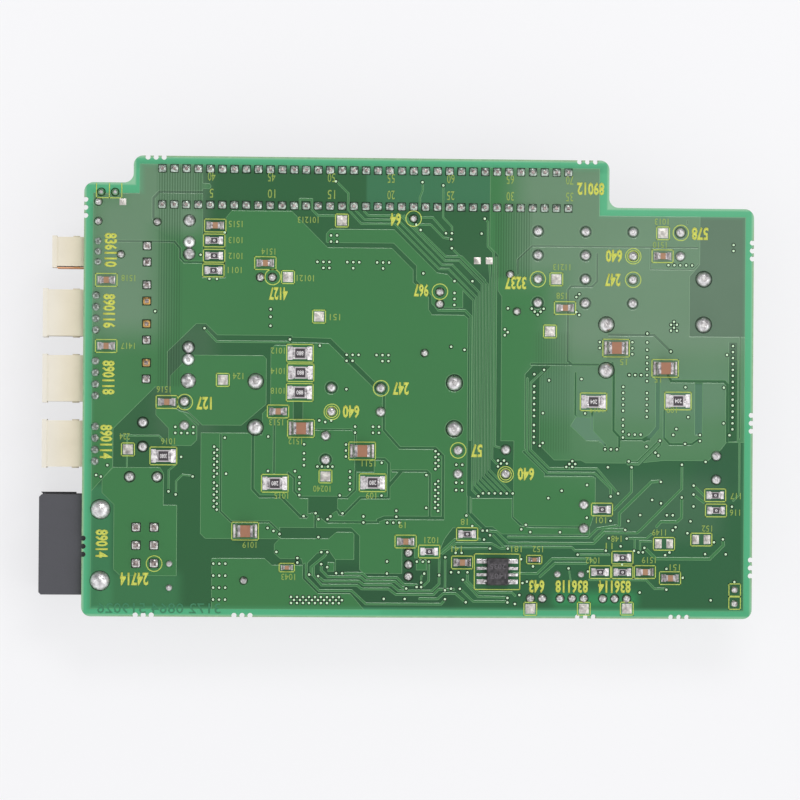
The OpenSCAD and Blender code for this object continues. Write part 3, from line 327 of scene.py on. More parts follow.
bare_fields = [
    # left end: round the inlet, up to the diagonal, and the dark column beside it
    [(3.2, 2.9), (43.5, 2.9), (43.5, 19.8), (61, 19.8), (63.5, 17.6), (74, 17.6), (73.4, 19.8),
     (66.3, 19.8), (64.3, 21.6), (64.3, 24.6), (66, 26.4), (41.2, 26.4), (39.6, 28), (39.6, 61.6),
     (39, 64), (29, 72), (28.2, 76.8), (24.2, 76.8), (10.3, 62.8), (10.3, 50), (6.8, 46),
     (3.2, 42)],
    # round the output pour
    [(28.2, 75.5), (28.2, 88.6), (37.7, 98), (41, 98), (44.8, 94.3), (69.7, 94.3), (69.7, 91),
     (64, 91), (62.7, 89.7), (62.7, 70.9), (60, 68.2), (60, 61), (55, 61.6), (38.8, 61.6),
     (38.8, 64.5), (35.5, 68), (31, 69.5), (28.2, 72)],
    [(66, 30.2), (90, 30.2), (92.8, 27.5), (92.8, 16.3), (94.5, 14.8), (84.8, 14.8), (84.8, 19.6),
     (90.9, 19.6), (90.9, 28), (90.3, 28.7), (85, 28.7), (82.4, 26.5), (66.3, 26.5)],
    [(75.4, 40.4), (85.3, 40.4), (85.3, 36), (84, 35.2), (82.7, 34), (81.3, 33), (79.5, 33.8),
     (77.6, 35.2), (75.4, 34.8)],
    [(91, 48.8), (97.5, 48.8), (97.5, 53), (91, 53)],
    [(70.3, 66), (73.5, 66), (73.5, 72.5), (70.3, 72.5)],
    [(39.6, 113.3), (47.4, 113.3), (47.4, 133.5), (49.3, 135.8), (49.3, 151.1), (39.6, 151.1)],
    # between the rows of the main connector, the tracks and the way down beside them
    [(40.3, 136), (40.3, 151.1), (135.8, 151.1), (135.8, 124.6), (138.6, 121.9), (138.6, 110),
     (139.9, 108), (139.9, 59.6), (144.3, 59.6), (144.3, 40.7), (129.9, 40.7), (128.6, 41),
     (128.6, 100.5), (127.3, 101.6), (116.5, 101.6), (115.3, 103.4), (115.3, 107.5),
     (110.1, 112.5), (110.1, 116.6), (102.9, 123.8), (81.4, 123.8), (69.4, 135.8), (49.3, 135.8)],
    # lower right, from the first tracks to the corner
    [(73.8, 17.8), (73.8, 13.2), (78.8, 8.2), (89.8, 8.2), (94.3, 2.9), (222, 2.9), (222, 59.6),
     (216, 59.6), (214, 57), (209.8, 53.4), (195, 53.4), (186, 52.4), (168.5, 52.4), (166.8, 53.3),
     (157.9, 53.3), (152.9, 58.3), (152.9, 80.8), (156.8, 84.9), (150.5, 84.9), (147.9, 82),
     (147.9, 57), (154.6, 50.2), (154.6, 47.4), (171.8, 47.4), (171.8, 36.4), (170.2, 31.2),
     (147.8, 31.2), (144.3, 34.2), (144.3, 41), (130, 41), (130, 34), (133.4, 30.4), (124, 30.4),
     (121.3, 26.8), (119.3, 22), (119.3, 20.2), (111.2, 20.2), (111.2, 24.2), (107, 24.2),
     (107, 15), (84.8, 15), (84.8, 19.4), (82.4, 22.8), (79.8, 22.8), (75.2, 18.8)],
    [(163.3, 64.8), (165, 67.6), (170.2, 67.6), (170.2, 63.5), (174.3, 59.3), (168.5, 59.3)],
    [(205.2, 62), (205.2, 79.5), (207.8, 79.5), (207.8, 62)],
    [(216.6, 93.3), (219.6, 93.3), (219.6, 59.8), (216.6, 59.8)],
    [(206.6, 135.3), (222, 135.3), (222, 95), (203.2, 95), (203.2, 115.3), (206.6, 119.3)],
]

copper_fields = [
    [(6.8, 46), (6.8, 41.5), (10.8, 37.5), (10.8, 16), (13, 13.9), (31.7, 13.9), (31.7, 37.4),
     (27.2, 37.4), (27.2, 48), (26, 49.9), (10.5, 49.9)],
    [(29.2, 75), (29.2, 80.5), (36, 87.5), (60.2, 87.5), (61.2, 86.4), (61.2, 71.3), (53, 64.2),
     (40, 64.2), (35, 69), (32, 70.6), (30.4, 72)],
    [(24.5, 71), (24.5, 67.5), (28.8, 63), (28.8, 59), (30, 57.3), (36.3, 57.3), (38.2, 59.2),
     (38.2, 63.8), (33.5, 68.4), (31, 69.6), (27, 71)],
    [(80.9, 125.8), (80.9, 128.4), (82.3, 130), (103.7, 130), (118, 115.8), (121.6, 115.2),
     (126.8, 110), (126.8, 104.2), (117.6, 104.2), (116.4, 105.4), (116.4, 108), (111.2, 113.2),
     (111.2, 118), (103.5, 125.5), (81.2, 125.5)],
    [(144.8, 40), (144.8, 48.5), (149.8, 48.5), (149.8, 37.3), (151.2, 36), (168.5, 36),
     (170, 34.8), (170, 31.6), (147.9, 31.6), (144.8, 34.4)],
    [(151.4, 38.4), (151.4, 45.2), (152.6, 46.2), (169.8, 46.2), (171.5, 44.4), (171.5, 38.4)],
    [(130.3, 35.5), (130.3, 40.3), (143.8, 40.3), (143.8, 33.8), (146.4, 31.2), (150, 30.6),
     (170, 30.6), (170, 28.4), (140.5, 28.4), (137.4, 30.8), (135, 30.8)],
    [(82.2, 18.6), (84.3, 18.6), (84.3, 15.6), (82.2, 15.6)],
    [(111.8, 19.6), (115.2, 19.6), (115.2, 16.2), (111.8, 16.2)],
]

# Gaps cut in the copper: the line down the middle, then its width, all in grid steps.
gaps = [
    ([(46.2, 61), (46.2, 35.5), (49.8, 32), (62.6, 32), (65.9, 28.8), (66, 27.2)], 0.7),
    ([(97.5, 53.2), (101, 53.2), (102.4, 51.8), (102.4, 40.3), (93, 40.3), (87.4, 34.6),
     (86, 34.9), (85.4, 36)], 0.9),
    ([(68.8, 48.4), (70.8, 46.8), (70.8, 42.4), (72.9, 40.3), (88.6, 40.3), (91.2, 42.9),
     (91.2, 49)], 0.8),
    ([(56.9, 61), (56.9, 43), (59.2, 40.5), (66.3, 40.5), (73, 33.8), (75, 33.8)], 1.0),
    ([(64, 66.5), (64, 48.5)], 0.7),
    ([(79.3, 33.8), (80, 33.6), (82, 32.1), (99, 32.1)], 0.8),
    ([(99, 32.8), (101, 33.6), (120.6, 33.6)], 1.2),
    ([(77.9, 34.4), (77.9, 30)], 0.8),
    ([(103.6, 49.3), (115.2, 49.3), (116.2, 48.3), (116.2, 34)], 0.8),
    ([(102.6, 44.5), (106.4, 49)], 1.2),
    ([(100.6, 75.5), (100.6, 63), (106, 57), (118, 57), (120.6, 54.4), (120.6, 33.8)], 0.9),
    ([(77.5, 63), (90, 63), (91.2, 62), (91.2, 58)], 0.6),
    ([(69, 92.9), (82.3, 92.6), (97.4, 77.9)], 1.7),
    ([(11.3, 125.3), (30.3, 125.3), (32.2, 123), (32.2, 120), (33.6, 118.5), (39.8, 118.5)], 0.8),
    ([(40.3, 141.9), (25.2, 141.9), (23.2, 139.8), (23.2, 133)], 1.0),
    ([(129.2, 41), (129.2, 35.5), (134, 30.2)], 0.9),
    ([(147.7, 56), (154.6, 49.4)], 0.8),
    ([(150, 85.4), (172.5, 85.4)], 0.8),
    ([(205.8, 125), (150, 125), (145.2, 120.4), (145.2, 115.5)], 0.7),
    ([(172, 122.5), (172, 113.3), (170.3, 111.6), (163.2, 111.6), (162.2, 110.4), (162.2, 86.6),
     (163.6, 85.5)], 0.8),
    ([(190, 124.5), (190, 117.6), (204.5, 117.6), (206.2, 119.5)], 0.5),
    ([(164.9, 82.5), (164.9, 68.5), (166, 67.4), (168, 67.4)], 0.7),
    ([(170.6, 70), (170.6, 63), (175, 58.4)], 0.9),
    ([(177.3, 86), (177.8, 84), (177.8, 63.3), (179.8, 61.2), (179.8, 58)], 0.9),
    ([(180, 60.3), (190, 60.3)], 0.7),
    ([(192.7, 82), (192.7, 64.4), (190.2, 61.4), (188.2, 60.3)], 1.5),
    ([(182.9, 52.2), (186.2, 52.2), (193, 58.9)], 1.9),
    ([(195.6, 83), (197.2, 80), (215.2, 80), (216.2, 79), (216.2, 60)], 1.0),
    ([(194.9, 70), (194.9, 61), (196.8, 58.9), (204.3, 58.9), (206.6, 60.6)], 0.8),
    ([(176, 95.5), (191.3, 95.5), (196.6, 90.4)], 1.0),
    ([(220.4, 134), (220.4, 61)], 0.5),
    ([(202.4, 134), (202.4, 133)], 0.5),
]

# Tracks: the line down the middle, then the width.
tracks = [
    ([(40.4, 96.5), (44.6, 92.1), (68.6, 92.1), (69, 92.8)], 0.6),
    ([(41.4, 143.9), (39.6, 144), (25.4, 144), (22, 141)], 1.7),
    ([(13, 60.5), (25.6, 60.5), (27.6, 58.6)], 0.5),
    ([(15, 60), (15, 50.2)], 0.4),
    ([(31.4, 41.5), (31.4, 45.5), (33.5, 47.6), (36.9, 47.2)], 0.5),
    ([(28.9, 42.5), (28.9, 49), (31.4, 51.2)], 0.5),
    # out of the rows of the main connector
    ([(84, 146.2), (88.2, 142), (88.2, 136.6), (92.6, 131.9), (103.9, 131.9), (118.8, 117),
     (122, 117), (131.3, 107.7), (131.3, 44.7), (134, 42)], 0.55),
    ([(90.4, 136.6), (93.7, 133.3), (104.9, 133.3), (119.8, 118.4), (123.2, 118.4),
     (132.25, 109.3), (132.25, 45.75), (136, 42)], 0.55),
    ([(93.6, 136), (94.9, 134.7), (105.9, 134.7), (120.8, 119.8), (125.6, 119.8), (133.2, 112.2),
     (133.2, 46.8), (138, 42)], 0.55),
    ([(107, 134.7), (121, 121.2), (126.4, 121.2), (134.15, 113.4), (134.15, 47.85), (140, 42)],
     0.55),
    ([(123, 124), (135.1, 112), (135.1, 48.9), (142, 42)], 0.55),
    ([(124, 113), (130.4, 106.6), (130.4, 43.1), (132.5, 41)], 0.55),
    ([(135.6, 119.9), (136.05, 113.5), (136.05, 49.95), (144, 42)], 0.55),
    ([(134, 134), (135.1, 132.9), (135.1, 124.7), (137, 122.7), (137, 53.5), (139, 51.5)], 0.55),
    ([(137.9, 121), (137.9, 57.8), (140.6, 57)], 0.55),
    ([(117.6, 107), (117.6, 104.6), (118.7, 103.2), (127.6, 103.2), (129.6, 101.2), (129.6, 60)],
     0.7),
    ([(113, 146.2), (113.2, 143.5), (112.2, 141), (112.2, 138)], 0.5),
    ([(120, 145), (120, 134.3), (123, 131.2), (123, 129)], 0.5),
    ([(112.6, 134.2), (116.6, 134.2), (121, 129.2)], 0.55),
    ([(111.3, 131.8), (115.9, 131.8), (120.2, 127.5), (122.9, 127)], 0.55),
    ([(72, 139.9), (76, 139.9), (76, 136.6), (78, 134.5), (84, 134.5)], 0.6),
    ([(72, 139.9), (72, 136.8)], 0.5),
    # the nest of tracks at the lower edge
    ([(80, 22.2), (78.4, 22), (75, 18.4), (75, 13.6), (79.4, 9.2), (90.2, 9.2), (95, 4.8),
     (120.2, 4.8), (121.6, 6.4)], 0.7),
    ([(82, 22), (81, 20.6), (76.6, 17), (76.6, 14.5)], 0.7),
    ([(77.4, 17), (77.4, 14.2), (80.2, 11), (92, 11), (93.6, 9.8), (102.6, 9.8), (105, 8),
     (117.6, 8), (119.4, 9.8), (124.4, 9.8)], 0.7),
    ([(79, 14), (80.8, 12.4), (92.6, 12.4), (94.2, 11.2), (103.6, 11.2), (106, 9.2), (117, 9.2),
     (119.5, 11.6), (119.5, 14.5)], 0.7),
    ([(80, 18), (80, 16), (82.2, 13.8), (93.2, 13.8), (94.8, 12.4), (104.6, 12.4), (107, 10.4),
     (108.5, 10)], 0.7),
    ([(87, 15), (93.8, 15), (95.4, 13.6), (105.4, 13.6), (107.6, 11.4), (112, 11.2)], 0.7),
    ([(116, 19), (116, 12.6), (114.6, 11.2), (113.5, 10.5)], 0.6),
    ([(114.5, 15), (113.5, 14), (113.5, 12)], 0.5),
    ([(121.5, 20.5), (121.5, 9.5)], 0.6),
    ([(119.5, 20.4), (119.5, 14.5)], 0.6),
    ([(113, 6.6), (119, 6.6), (121, 8.4), (125, 8.4), (128.5, 5.5)], 0.7),
    ([(126.5, 10), (131, 5.8), (142.4, 5.8)], 0.6),
    ([(127.5, 13), (132.6, 7.4), (142.4, 7.2)], 0.6),
    ([(129, 15.5), (129, 12.6), (132.8, 8.8), (144, 8.8), (145, 7.8)], 0.6),
    ([(119.8, 22), (124.6, 26.4), (133, 26.6)], 0.7),
    ([(120.6, 21.8), (125, 25.2), (137, 25.2), (140, 23.6), (142.4, 23.5)], 0.6),
    ([(123.8, 23.6), (136.4, 23.6)], 0.5),
    ([(128.4, 34.5), (134, 29.6)], 0.6),
    ([(135.5, 29.4), (138.6, 29.2), (142.6, 25.4), (171.4, 25.4), (175, 29), (186, 29),
     (187.4, 30.2), (201, 43.9), (201, 52)], 0.7),
    ([(142.6, 27.4), (169.6, 27.4), (172.6, 30.4), (179, 31.4)], 0.7),
    ([(171.6, 26.8), (175, 30.2), (182, 30.2)], 0.6),
    ([(137.6, 27.8), (141.2, 24.1), (164, 24.1), (165, 23.1), (175.2, 23.1)], 0.6),
    ([(165.9, 21.6), (176.6, 21.6)], 0.6),
    ([(149, 15.2), (152.4, 15.2), (157.4, 20.2), (170.4, 20.2), (171.6, 19)], 0.7),
    ([(153.4, 14.2), (158.4, 18.7), (168.8, 18.7)], 0.7),
    ([(144.6, 15.2), (149, 15.2)], 0.6),
    ([(150, 29.1), (160, 29.1)], 0.6),
    ([(163, 17.2), (163.8, 12.6)], 0.4),
    ([(154.5, 83.5), (149.9, 79.2), (149.9, 56.7), (156.2, 50.5), (172.3, 50.5), (179.3, 42.4)],
     0.65),
    ([(148.7, 80.5), (148.7, 55.9), (155.7, 49), (171.6, 49), (177, 43.8), (177, 41.3)], 0.65),
    ([(184, 51), (184, 42.8), (178.2, 36.8)], 0.7),
    ([(193.8, 46.4), (190.8, 46.2), (180, 35.5), (180, 31.6)], 0.9),
    ([(182.4, 27.2), (189.2, 27.2), (190.8, 28.6)], 0.6),
    ([(187, 22.8), (187, 26.2), (190.8, 26.2)], 0.5),
    ([(185.2, 23), (185.2, 26.8)], 0.5),
    ([(188.6, 24), (192.4, 20.4), (210.6, 20.4), (215.2, 25), (215, 27)], 0.9),
    ([(201, 41.2), (201, 34.2), (199.4, 32.8), (194, 32.8), (192.6, 31.2)], 0.8),
    ([(205, 45.1), (208.6, 41.6)], 0.7),
    ([(205, 42), (208.4, 39.4)], 0.7),
    ([(196, 10.3), (192, 10.3), (189.2, 13.2), (170, 13.2)], 0.6),
    ([(157.5, 80.7), (161.8, 80.7), (162.4, 79.5), (162.4, 64.8), (168.3, 59.2), (172.5, 59.2)],
     1.2),
    ([(182.9, 52.2), (186.2, 52.2), (193, 58.9)], 0.9),
    ([(220.4, 60), (220.4, 42), (218.4, 40)], 0.5),
    ([(144.4, 48.4), (144.4, 53)], 0.5),
    ([(152.6, 47.6), (171, 47.6)], 0.5),
]

# Pins that aren't joined to the pour stand in a ring of bare laminate: place and radius in steps.
rings = [(p, 2.3) for p in [
    (152, 130), (152, 122), (152, 106), (168, 130), (168, 122), (168, 114), (168, 106), (184, 130),
    (184, 106), (34, 72), (99.5, 77), (83, 77), (81.2, 52.9), (200, 130)]]
rings += [((124.2, 78.9), 3.1), ((124.2, 63.5), 3.1)]

# Solder stands in a dark surround, darker than the bare laminate: place, and radius in mm.
cans = [
    (152, 126), (152, 110), (168, 126), (168, 110), (184, 126), (184, 110), (200, 126), (34, 68),
    (99.5, 73), (83, 73), (81.2, 56.9), (125.6, 52.4), (141.6, 52.6), (168, 34.4), (212.6, 51)]
chokes = [(57.7, 71.2), (124.2, 71.2), (175.2, 91.2), (208, 106.7)]
posts = [(110.1, 133.8), (114.1, 88.8), (145, 103), (142.7, 115.4), (54.1, 12.4), (12.5, 120.9),
         (24.5, 131.8), (4.9, 131.9), (4.9, 138.4), (5.8, 141.6), (10.4, 141.6)]
clusters = [
    (78, 119), (80, 119), (82, 119), (80, 117), (82, 117), (88, 119), (90, 119), (92, 119),
    (90, 117), (98, 119), (100, 119), (102, 119), (100, 117), (88, 88), (90, 88), (92, 88),
    (88, 86), (90, 86), (98, 88), (100, 88), (102, 88), (100, 86), (102, 86)]
ringed_holes = [
    (24, 102), (88, 76.5), (62.5, 103), (62.5, 100.5), (62.5, 97.5), (78.5, 50.6), (80, 50.6),
    (82, 50.6), (83.5, 50.6), (183, 82), (185, 82), (187, 82), (175, 57), (177, 57), (179, 57),
    (160.5, 43), (189, 96), (142, 104), (123, 91), (127.5, 90), (94, 34), (94, 32), (105, 36),
    (105, 34), (102, 32), (104, 32), (106, 32), (72, 20), (72, 18.5), (102, 19), (123.5, 15.5),
    (150, 104), (151, 103), (152, 102), (153, 103), (154, 104), (125, 51.5), (127, 51.5),
    (125, 45.5), (127, 45.5), (125, 43), (127, 43), (113.5, 115.5), (197, 90)]
dark_surrounds_round = [((k, l + s), 1.13) for k, l in cans for s in (4, -4)]
dark_surrounds_round += [((k, l + s), 1.81) for k, l in chokes for s in (7.68, -7.68)]
for radius, places in (
        (2.16, [(6.3, 12.1), (6.3, 35.9)]),
        (1.37, [(35.2, l) for l in (132.4, 125.2, 121.2, 90.1, 86)]),
        (1.68, [(35.2, 78.9)]),
        (1.27, [(20.2, 64.9), (20.2, 56.9), (15.9, 46.8), (25.1, 46.8)]),
        (0.93, posts),
        (1.05, [(109.2, 14), (109.2, 18), (109.2, 22), (119.1, 109.3), (119.1, 105.3),
                (63, 113.7), (59, 113.7)]),
        (1.0, [(k, 6.9) for k in (150.2, 154.2, 160.2, 164.2, 168.2, 174.6, 178.6, 182.6)]),
        (0.47, clusters),
        (0.50, ringed_holes)):
    dark_surrounds_round += [(p, radius) for p in places]
main_row = [26.1 + 4 * i for i in range(35)]
dark_surrounds_square = [((k, l), 1.8) for k in main_row for l in (137.7, 149.7)]
dark_surrounds_square += [((k, l), 2.05) for k in (18.2, 24.2) for l in (18, 24, 30)]
dark_surrounds_square += [((21.2, 82.1 + 13 * i + s), 1.95) for i in range(4) for s in (-2.7, 2.7)]


def block(place, side):
    (x, y), h = spot(*place), side / 2
    return [(x - h, y - h), (x + h, y - h), (x + h, y + h), (x - h, y + h)]


BARE, WALL, COPPER, MARGIN, DARK_SURROUND = range(5)
layers = [(COPPER, lane(copper_field), None)]
layers += [(BARE, lane(p), None) for p in bare_fields]
layers += [(COPPER, lane(p), None) for p in copper_fields]
layers += [(BARE, lane(p), w * STEP / 2) for p, w in gaps]
layers += [(COPPER, lane(p), w * STEP / 2) for p, w in tracks]
layers += [(BARE, disc(spot(*p), r * STEP), None) for p, r in rings]
layers += [(DARK_SURROUND, disc(spot(*p), r, 12 if r < 0.6 else 20), None) for p, r in dark_surrounds_round]
layers += [(DARK_SURROUND, block(p, w), None) for p, w in dark_surrounds_square]

# Each layer goes in twice, as the foot and the brow of its edge, and the later one wins.
points, loops, keys = list(outline), [list(range(len(outline)))], [None]
for i, (kind, line, half) in enumerate(layers):
    for side in (1, -1):
        if half is None:
            loop = offset(line, side * (DARK_SURROUND_EDGE if kind == DARK_SURROUND else EDGE))
        else:
            loop = stroke(line, half + side * EDGE)
        if turning(loop) < 0:
            loop.reverse()
        loops.append(list(range(len(points), len(points) + len(loop))))
        points += loop
        keys.append((i, side))
verts, _, faces, _, _, origins = delaunay_2d_cdt([Vector(p) for p in points], [], loops, 0, 1e-5,
                                                 True)
skin_faces, skin_kinds = [], []
for face, came in zip(faces, origins):
    if 0 not in came:
        continue
    kind, inside = MARGIN, {}
    for i, side in (keys[c] for c in came if c):
        inside[i] = min(inside.get(i, 2), side)
    for i in sorted(inside):
        new = layers[i][0]
        if inside[i] == -1:
            kind = new
        elif kind != new:
            kind = DARK_SURROUND if new == DARK_SURROUND and kind != COPPER else WALL
    skin_faces.append(face)
    skin_kinds.append(kind)
low, high = [False] * len(verts), [False] * len(verts)
for face, kind in zip(skin_faces, skin_kinds):
    for v in face:
        low[v] |= kind in (BARE, MARGIN, DARK_SURROUND)
        high[v] |= kind == COPPER
mid = (SKIN_FLOOR + SKIN_TOP) / 2
tall = [SKIN_FLOOR if a else SKIN_TOP if b else mid for a, b in zip(low, high)]
skin = bmesh.new()
made = [skin.verts.new((v[0] / 1000, v[1] / 1000, z / 1000)) for v, z in zip(verts, tall)]
for face, kind in zip(skin_faces, skin_kinds):
    try:
        skin.faces.new([made[v] for v in face]).material_index = kind
    except ValueError:
        pass
bmesh.ops.recalc_face_normals(skin, faces=skin.faces)
if sum(f.normal.z for f in skin.faces) < 0:
    bmesh.ops.reverse_faces(skin, faces=skin.faces)
bmesh.ops.delete(skin, geom=[v for v in skin.verts if not v.link_faces], context="VERTS")
# a skirt down to the laminate, and a face under it, close the film
rim = [e for e in skin.edges if e.is_boundary]
skirt = bmesh.ops.extrude_edge_only(skin, edges=rim)["geom"]
for v in skirt:
    if isinstance(v, bmesh.types.BMVert):
        v.co.z = SKIN_FOOT / 1000
under = [e for e in skirt if isinstance(e, bmesh.types.BMEdge) and e.is_boundary]
bmesh.ops.contextual_create(skin, geom=under)
for f in skin.faces:
    upright = abs(f.normal.z) < 0.3 and f.material_index == BARE and len(f.verts) == 4
    if len(f.verts) > 4 or upright:
        f.material_index = MARGIN
bmesh.ops.recalc_face_normals(skin, faces=skin.faces)
skin_mesh = bpy.data.meshes.new("solder_mask_and_foil")
skin.to_mesh(skin_mesh)
skin.free()
lacquered_foil = put("solder_mask_and_foil", skin_mesh)


def lacquer(name, colour, rough=0.22, glare=0.5, reach=4.0, spread=0.5, zones=(), gleam=None):
    """Green lacquer over copper or cloth: tinted by place, with painted glare, a painted glow near
    the rim, and the weave and planes inside.
    """
    made = bpy.data.materials.new(name)
    made.use_nodes = True
    net = made.node_tree
    base = shade(*colour)
    at = tool(net, "ShaderNodeTexCoord").outputs["Object"]
    xyz = tool(net, "ShaderNodeSeparateXYZ", at).outputs
    # back to grid steps
    k = sums(net, "MULTIPLY_ADD", xyz["X"], 1000 / STEP, -LEFT / STEP)
    l = sums(net, "MULTIPLY_ADD", xyz["Y"], 1000 / STEP, -LOWER / STEP)

    def inside(v, a, b, soft):
        return sums(net, "MULTIPLY", slope(net, v, a - soft, a + soft),
                    slope(net, v, b - soft, b + soft, 1.0, 0.0))

    def zone(k0, k1, l0, l1, soft):
        """1 inside a field, falling to 0 over a soft border."""
        return sums(net, "MULTIPLY", inside(k, k0, k1, soft), inside(l, l0, l1, soft))

    def pick(op, best, *others):
        """The largest or the smallest of several values."""
        for v in others:
            best = sums(net, op, best, v)
        return best

    def tinted(paint, factor, other, amount):
        return blend(net, sums(net, "MULTIPLY", factor, amount), paint, other)

    def darker(share):
        return (*(c * share for c in base[:3]), 1)

    cloud, threads = noise(net, at, 55, 5), noise(net, at, 2600, 1)
    gloss = tool(net, "ShaderNodeMapRange", cloud, 0.3, 0.7, rough * 0.85, rough * 1.2)
    paint = tinted(base, cloud, darker(0.80), 0.7)
    # painted reflection of the soft boxes: a milky glare on the lacquer at the two far corners
    painted_glare = pick("MAXIMUM", zone(2, 26, 94, 142, 8), zone(12, 40, 128, 158, 5),
                zone(158, 228, 88, 156, 9), zone(144, 172, 114, 156, 7))
    paint = tinted(paint, painted_glare, shade(150, 160, 150), glare)
    for *field, other, amount in zones:
        paint = tinted(paint, zone(*field), shade(*other), amount)
    # the planes inside show as fine upright stripes
    stripes = sums(net, "SINE", sums(net, "MULTIPLY", k, 6.2832 / 0.86))
    stripes = sums(net, "MULTIPLY_ADD", stripes, 0.5, 0.5)
    field = pick("MAXIMUM", zone(25, 32.6, 77, 137, 0.8), zone(24.6, 39.5, 136, 150.5, 1.0),
                 zone(137.5, 149.5, 114, 139, 1.0),
                 sums(net, "MULTIPLY", zone(151.5, 163, 56, 96, 1.5), 0.6))
    paint = tinted(paint, sums(net, "MULTIPLY", stripes, field), darker(0.5), 0.62)
    # light that comes up through the bare rim spreads a little way in
    rims = [pick("MINIMUM", sums(net, "SUBTRACT", k, k0), sums(net, "SUBTRACT", k1, k),
                 sums(net, "SUBTRACT", l, l0), sums(net, "SUBTRACT", l1, l))
            for k0, k1, l0, l1 in ((0.2, 224.8, 0.3, 138.1), (16.6, 175.9, 0.3, 153.8),
                                   (0.2, 175.9, 0.3, 144.8))]
    inward = pick("MAXIMUM", *rims)
    paint = tinted(paint, slope(net, inward, 1.2, reach, 1.0, 0.0), shade(84, 176, 130), spread)
    paint = tinted(paint, slope(net, inward, 0.15, 1.1, 1.0, 0.0), shade(150, 196, 160), 0.75)
    feed(net, net.nodes["Principled BSDF"], {
        "Base Color": paint, "Roughness": gloss.outputs[0], "Specular IOR Level": gleam,
        "Normal": relief(net, threads, 0.1, 0.00003)})
    return made


# Zones of another tint on the laminate, the copper and the bare margin: from and to along the
# board, from and to across it, the softness of the border, the colour and its amount. Near the
# rim, bright green zones carry the painted glow of light through the laminate further in, and
# darker zones on the margin hold that glow back.
track_band = (129, 137.5, 46, 116, 1.5, (38, 80, 52), 0.45)
over_laminate = (
    (126, 224, 3, 54, 7, (38, 96, 62), 0.35), (2.0, 10.4, 2.5, 44, 1.6, (66, 138, 92), 0.5),
    (6, 33, 3, 15, 2.5, (66, 132, 84), 0.45), (24, 44, 60, 98, 4, (112, 128, 112), 0.15),
    (94.3, 136, 137, 151.5, 0.5, (66, 128, 92), 0.5),
    (20, 176, 149.8, 153.5, 1.2, (74, 150, 108), 0.55),
    (17, 26, 147.5, 153, 1.4, (84, 158, 118), 0.7), track_band,
    (73, 126, 3, 18, 3, (34, 76, 48), 0.6), (205, 221, 44, 60, 3, (38, 84, 56), 0.45),
    (166, 214, 27, 47, 5, (84, 116, 90), 0.35), (2, 222, 2.0, 3.4, 0.6, (80, 160, 112), 0.3),
    # the next three: painted glow where the lower headers shine up through the laminate, then the
    # milky painted reflection of the soft boxes over the two slots on the right
    (158, 186, 4, 9, 2.5, (54, 164, 98), 0.48), (189.2, 195, 60.8, 84, 0.6, (88, 130, 104), 0.55),
    (204.6, 208.4, 61, 79.2, 0.6, (88, 130, 106), 0.6),
    (162.4, 175, 58.4, 68.2, 0.8, (98, 138, 110), 0.8))
# on the copper, the first and the last zone are a grey haze on the right: painted reflection of
# the soft boxes
over_copper = ((160, 222, 50, 96, 12, (126, 150, 128), 0.24), track_band,
               (150, 226, 68, 84, 5, (112, 140, 122), 0.28))
over_margin = ((1.9, 5, 2.5, 138, 0.7, (58, 132, 88), 0.6),
               (16, 176, 149.6, 152.4, 0.7, (58, 134, 94), 0.5),
               (100, 226, -2, 3.2, 1.0, (56, 142, 94), 0.45))
for coat in (
        lacquer("lacquer_on_laminate", (44, 97, 57), glare=0.26, reach=4.2, zones=over_laminate),
        # on the sloped edges of the copper the lacquer is painted a lighter green: a painted
        # highlight over the gloss that the slopes catch
        lacquer("lacquer_on_copper_edges_painted_highlight", (98, 150, 100), rough=0.16, glare=0.3, spread=0.4),
        lacquer("lacquer_on_copper", (60, 122, 70), glare=0.32, reach=4.4, spread=0.4,
                zones=over_copper),
        lacquer("lacquer_on_bare_margin", (75, 171, 120), glare=0.05, zones=over_margin),
        lacquer("dark_surround_of_solder", (26, 50, 32), rough=0.5, glare=0.03, reach=3,
                spread=0.05, gleam=0.15)):
    skin_mesh.materials.append(coat)
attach(lacquered_foil, "root")

# ---------------------------------------------------------------- plated holes
# Small plated holes join the copper layers. Each is a tinned ring with the drilled hole in its
# middle. They are stamped on their grid places by one node tree.


def recipe(name, sizes):
    """An empty geometry tree with a mesh in and out, and a named input for each size."""
    tree = bpy.data.node_groups.new(name, "GeometryNodeTree")
    for way in ("INPUT", "OUTPUT"):
        tree.interface.new_socket("Geometry", in_out=way, socket_type="NodeSocketGeometry")
    for label, value in sizes.items():
        kind = "NodeSocketMaterial" if value is None else "NodeSocketFloat"
        entry = tree.interface.new_socket(label, in_out="INPUT", socket_type=kind)
        if value is not None:
            entry.default_value = value
    return tree, tool(tree, "NodeGroupInput").outputs


def coated(tree, shape, material):
    return tool(tree, "GeometryNodeSetMaterial", named={
        "Geometry": shape, "Material": material}).outputs[0]


def stamped(tree, given, shape, **more):
    """A copy of the shape at each point of the mesh that comes in."""
    return tool(tree, "GeometryNodeInstanceOnPoints", named={
        "Points": given["Geometry"], "Instance": shape, **more}).outputs[0]


def close(tree, shape, material=None):
    """Makes the copies real, gives them their material and hands them out."""
    shape = tool(tree, "GeometryNodeRealizeInstances", shape).outputs[0]
    if material is not None:
        shape = coated(tree, shape, material)
    tool(tree, "NodeGroupOutput", shape)


def plan(name, places, z, mark=None, vectors=()):
    """A mesh of points alone, with a vector for each of them under the name of the mark."""
    mesh = bpy.data.meshes.new(name)
    mesh.from_pydata([(x / 1000, y / 1000, z / 1000) for x, y in places], [], [])
    if mark:
        column = mesh.attributes.new(mark, "FLOAT_VECTOR", "POINT")
        for entry, vector in zip(column.data, vectors):
            entry.vector = vector
    return mesh


def marked(tree, mark):
    return tool(tree, "GeometryNodeInputNamedAttribute", named={"Name": mark},
                data_type="FLOAT_VECTOR").outputs["Attribute"]


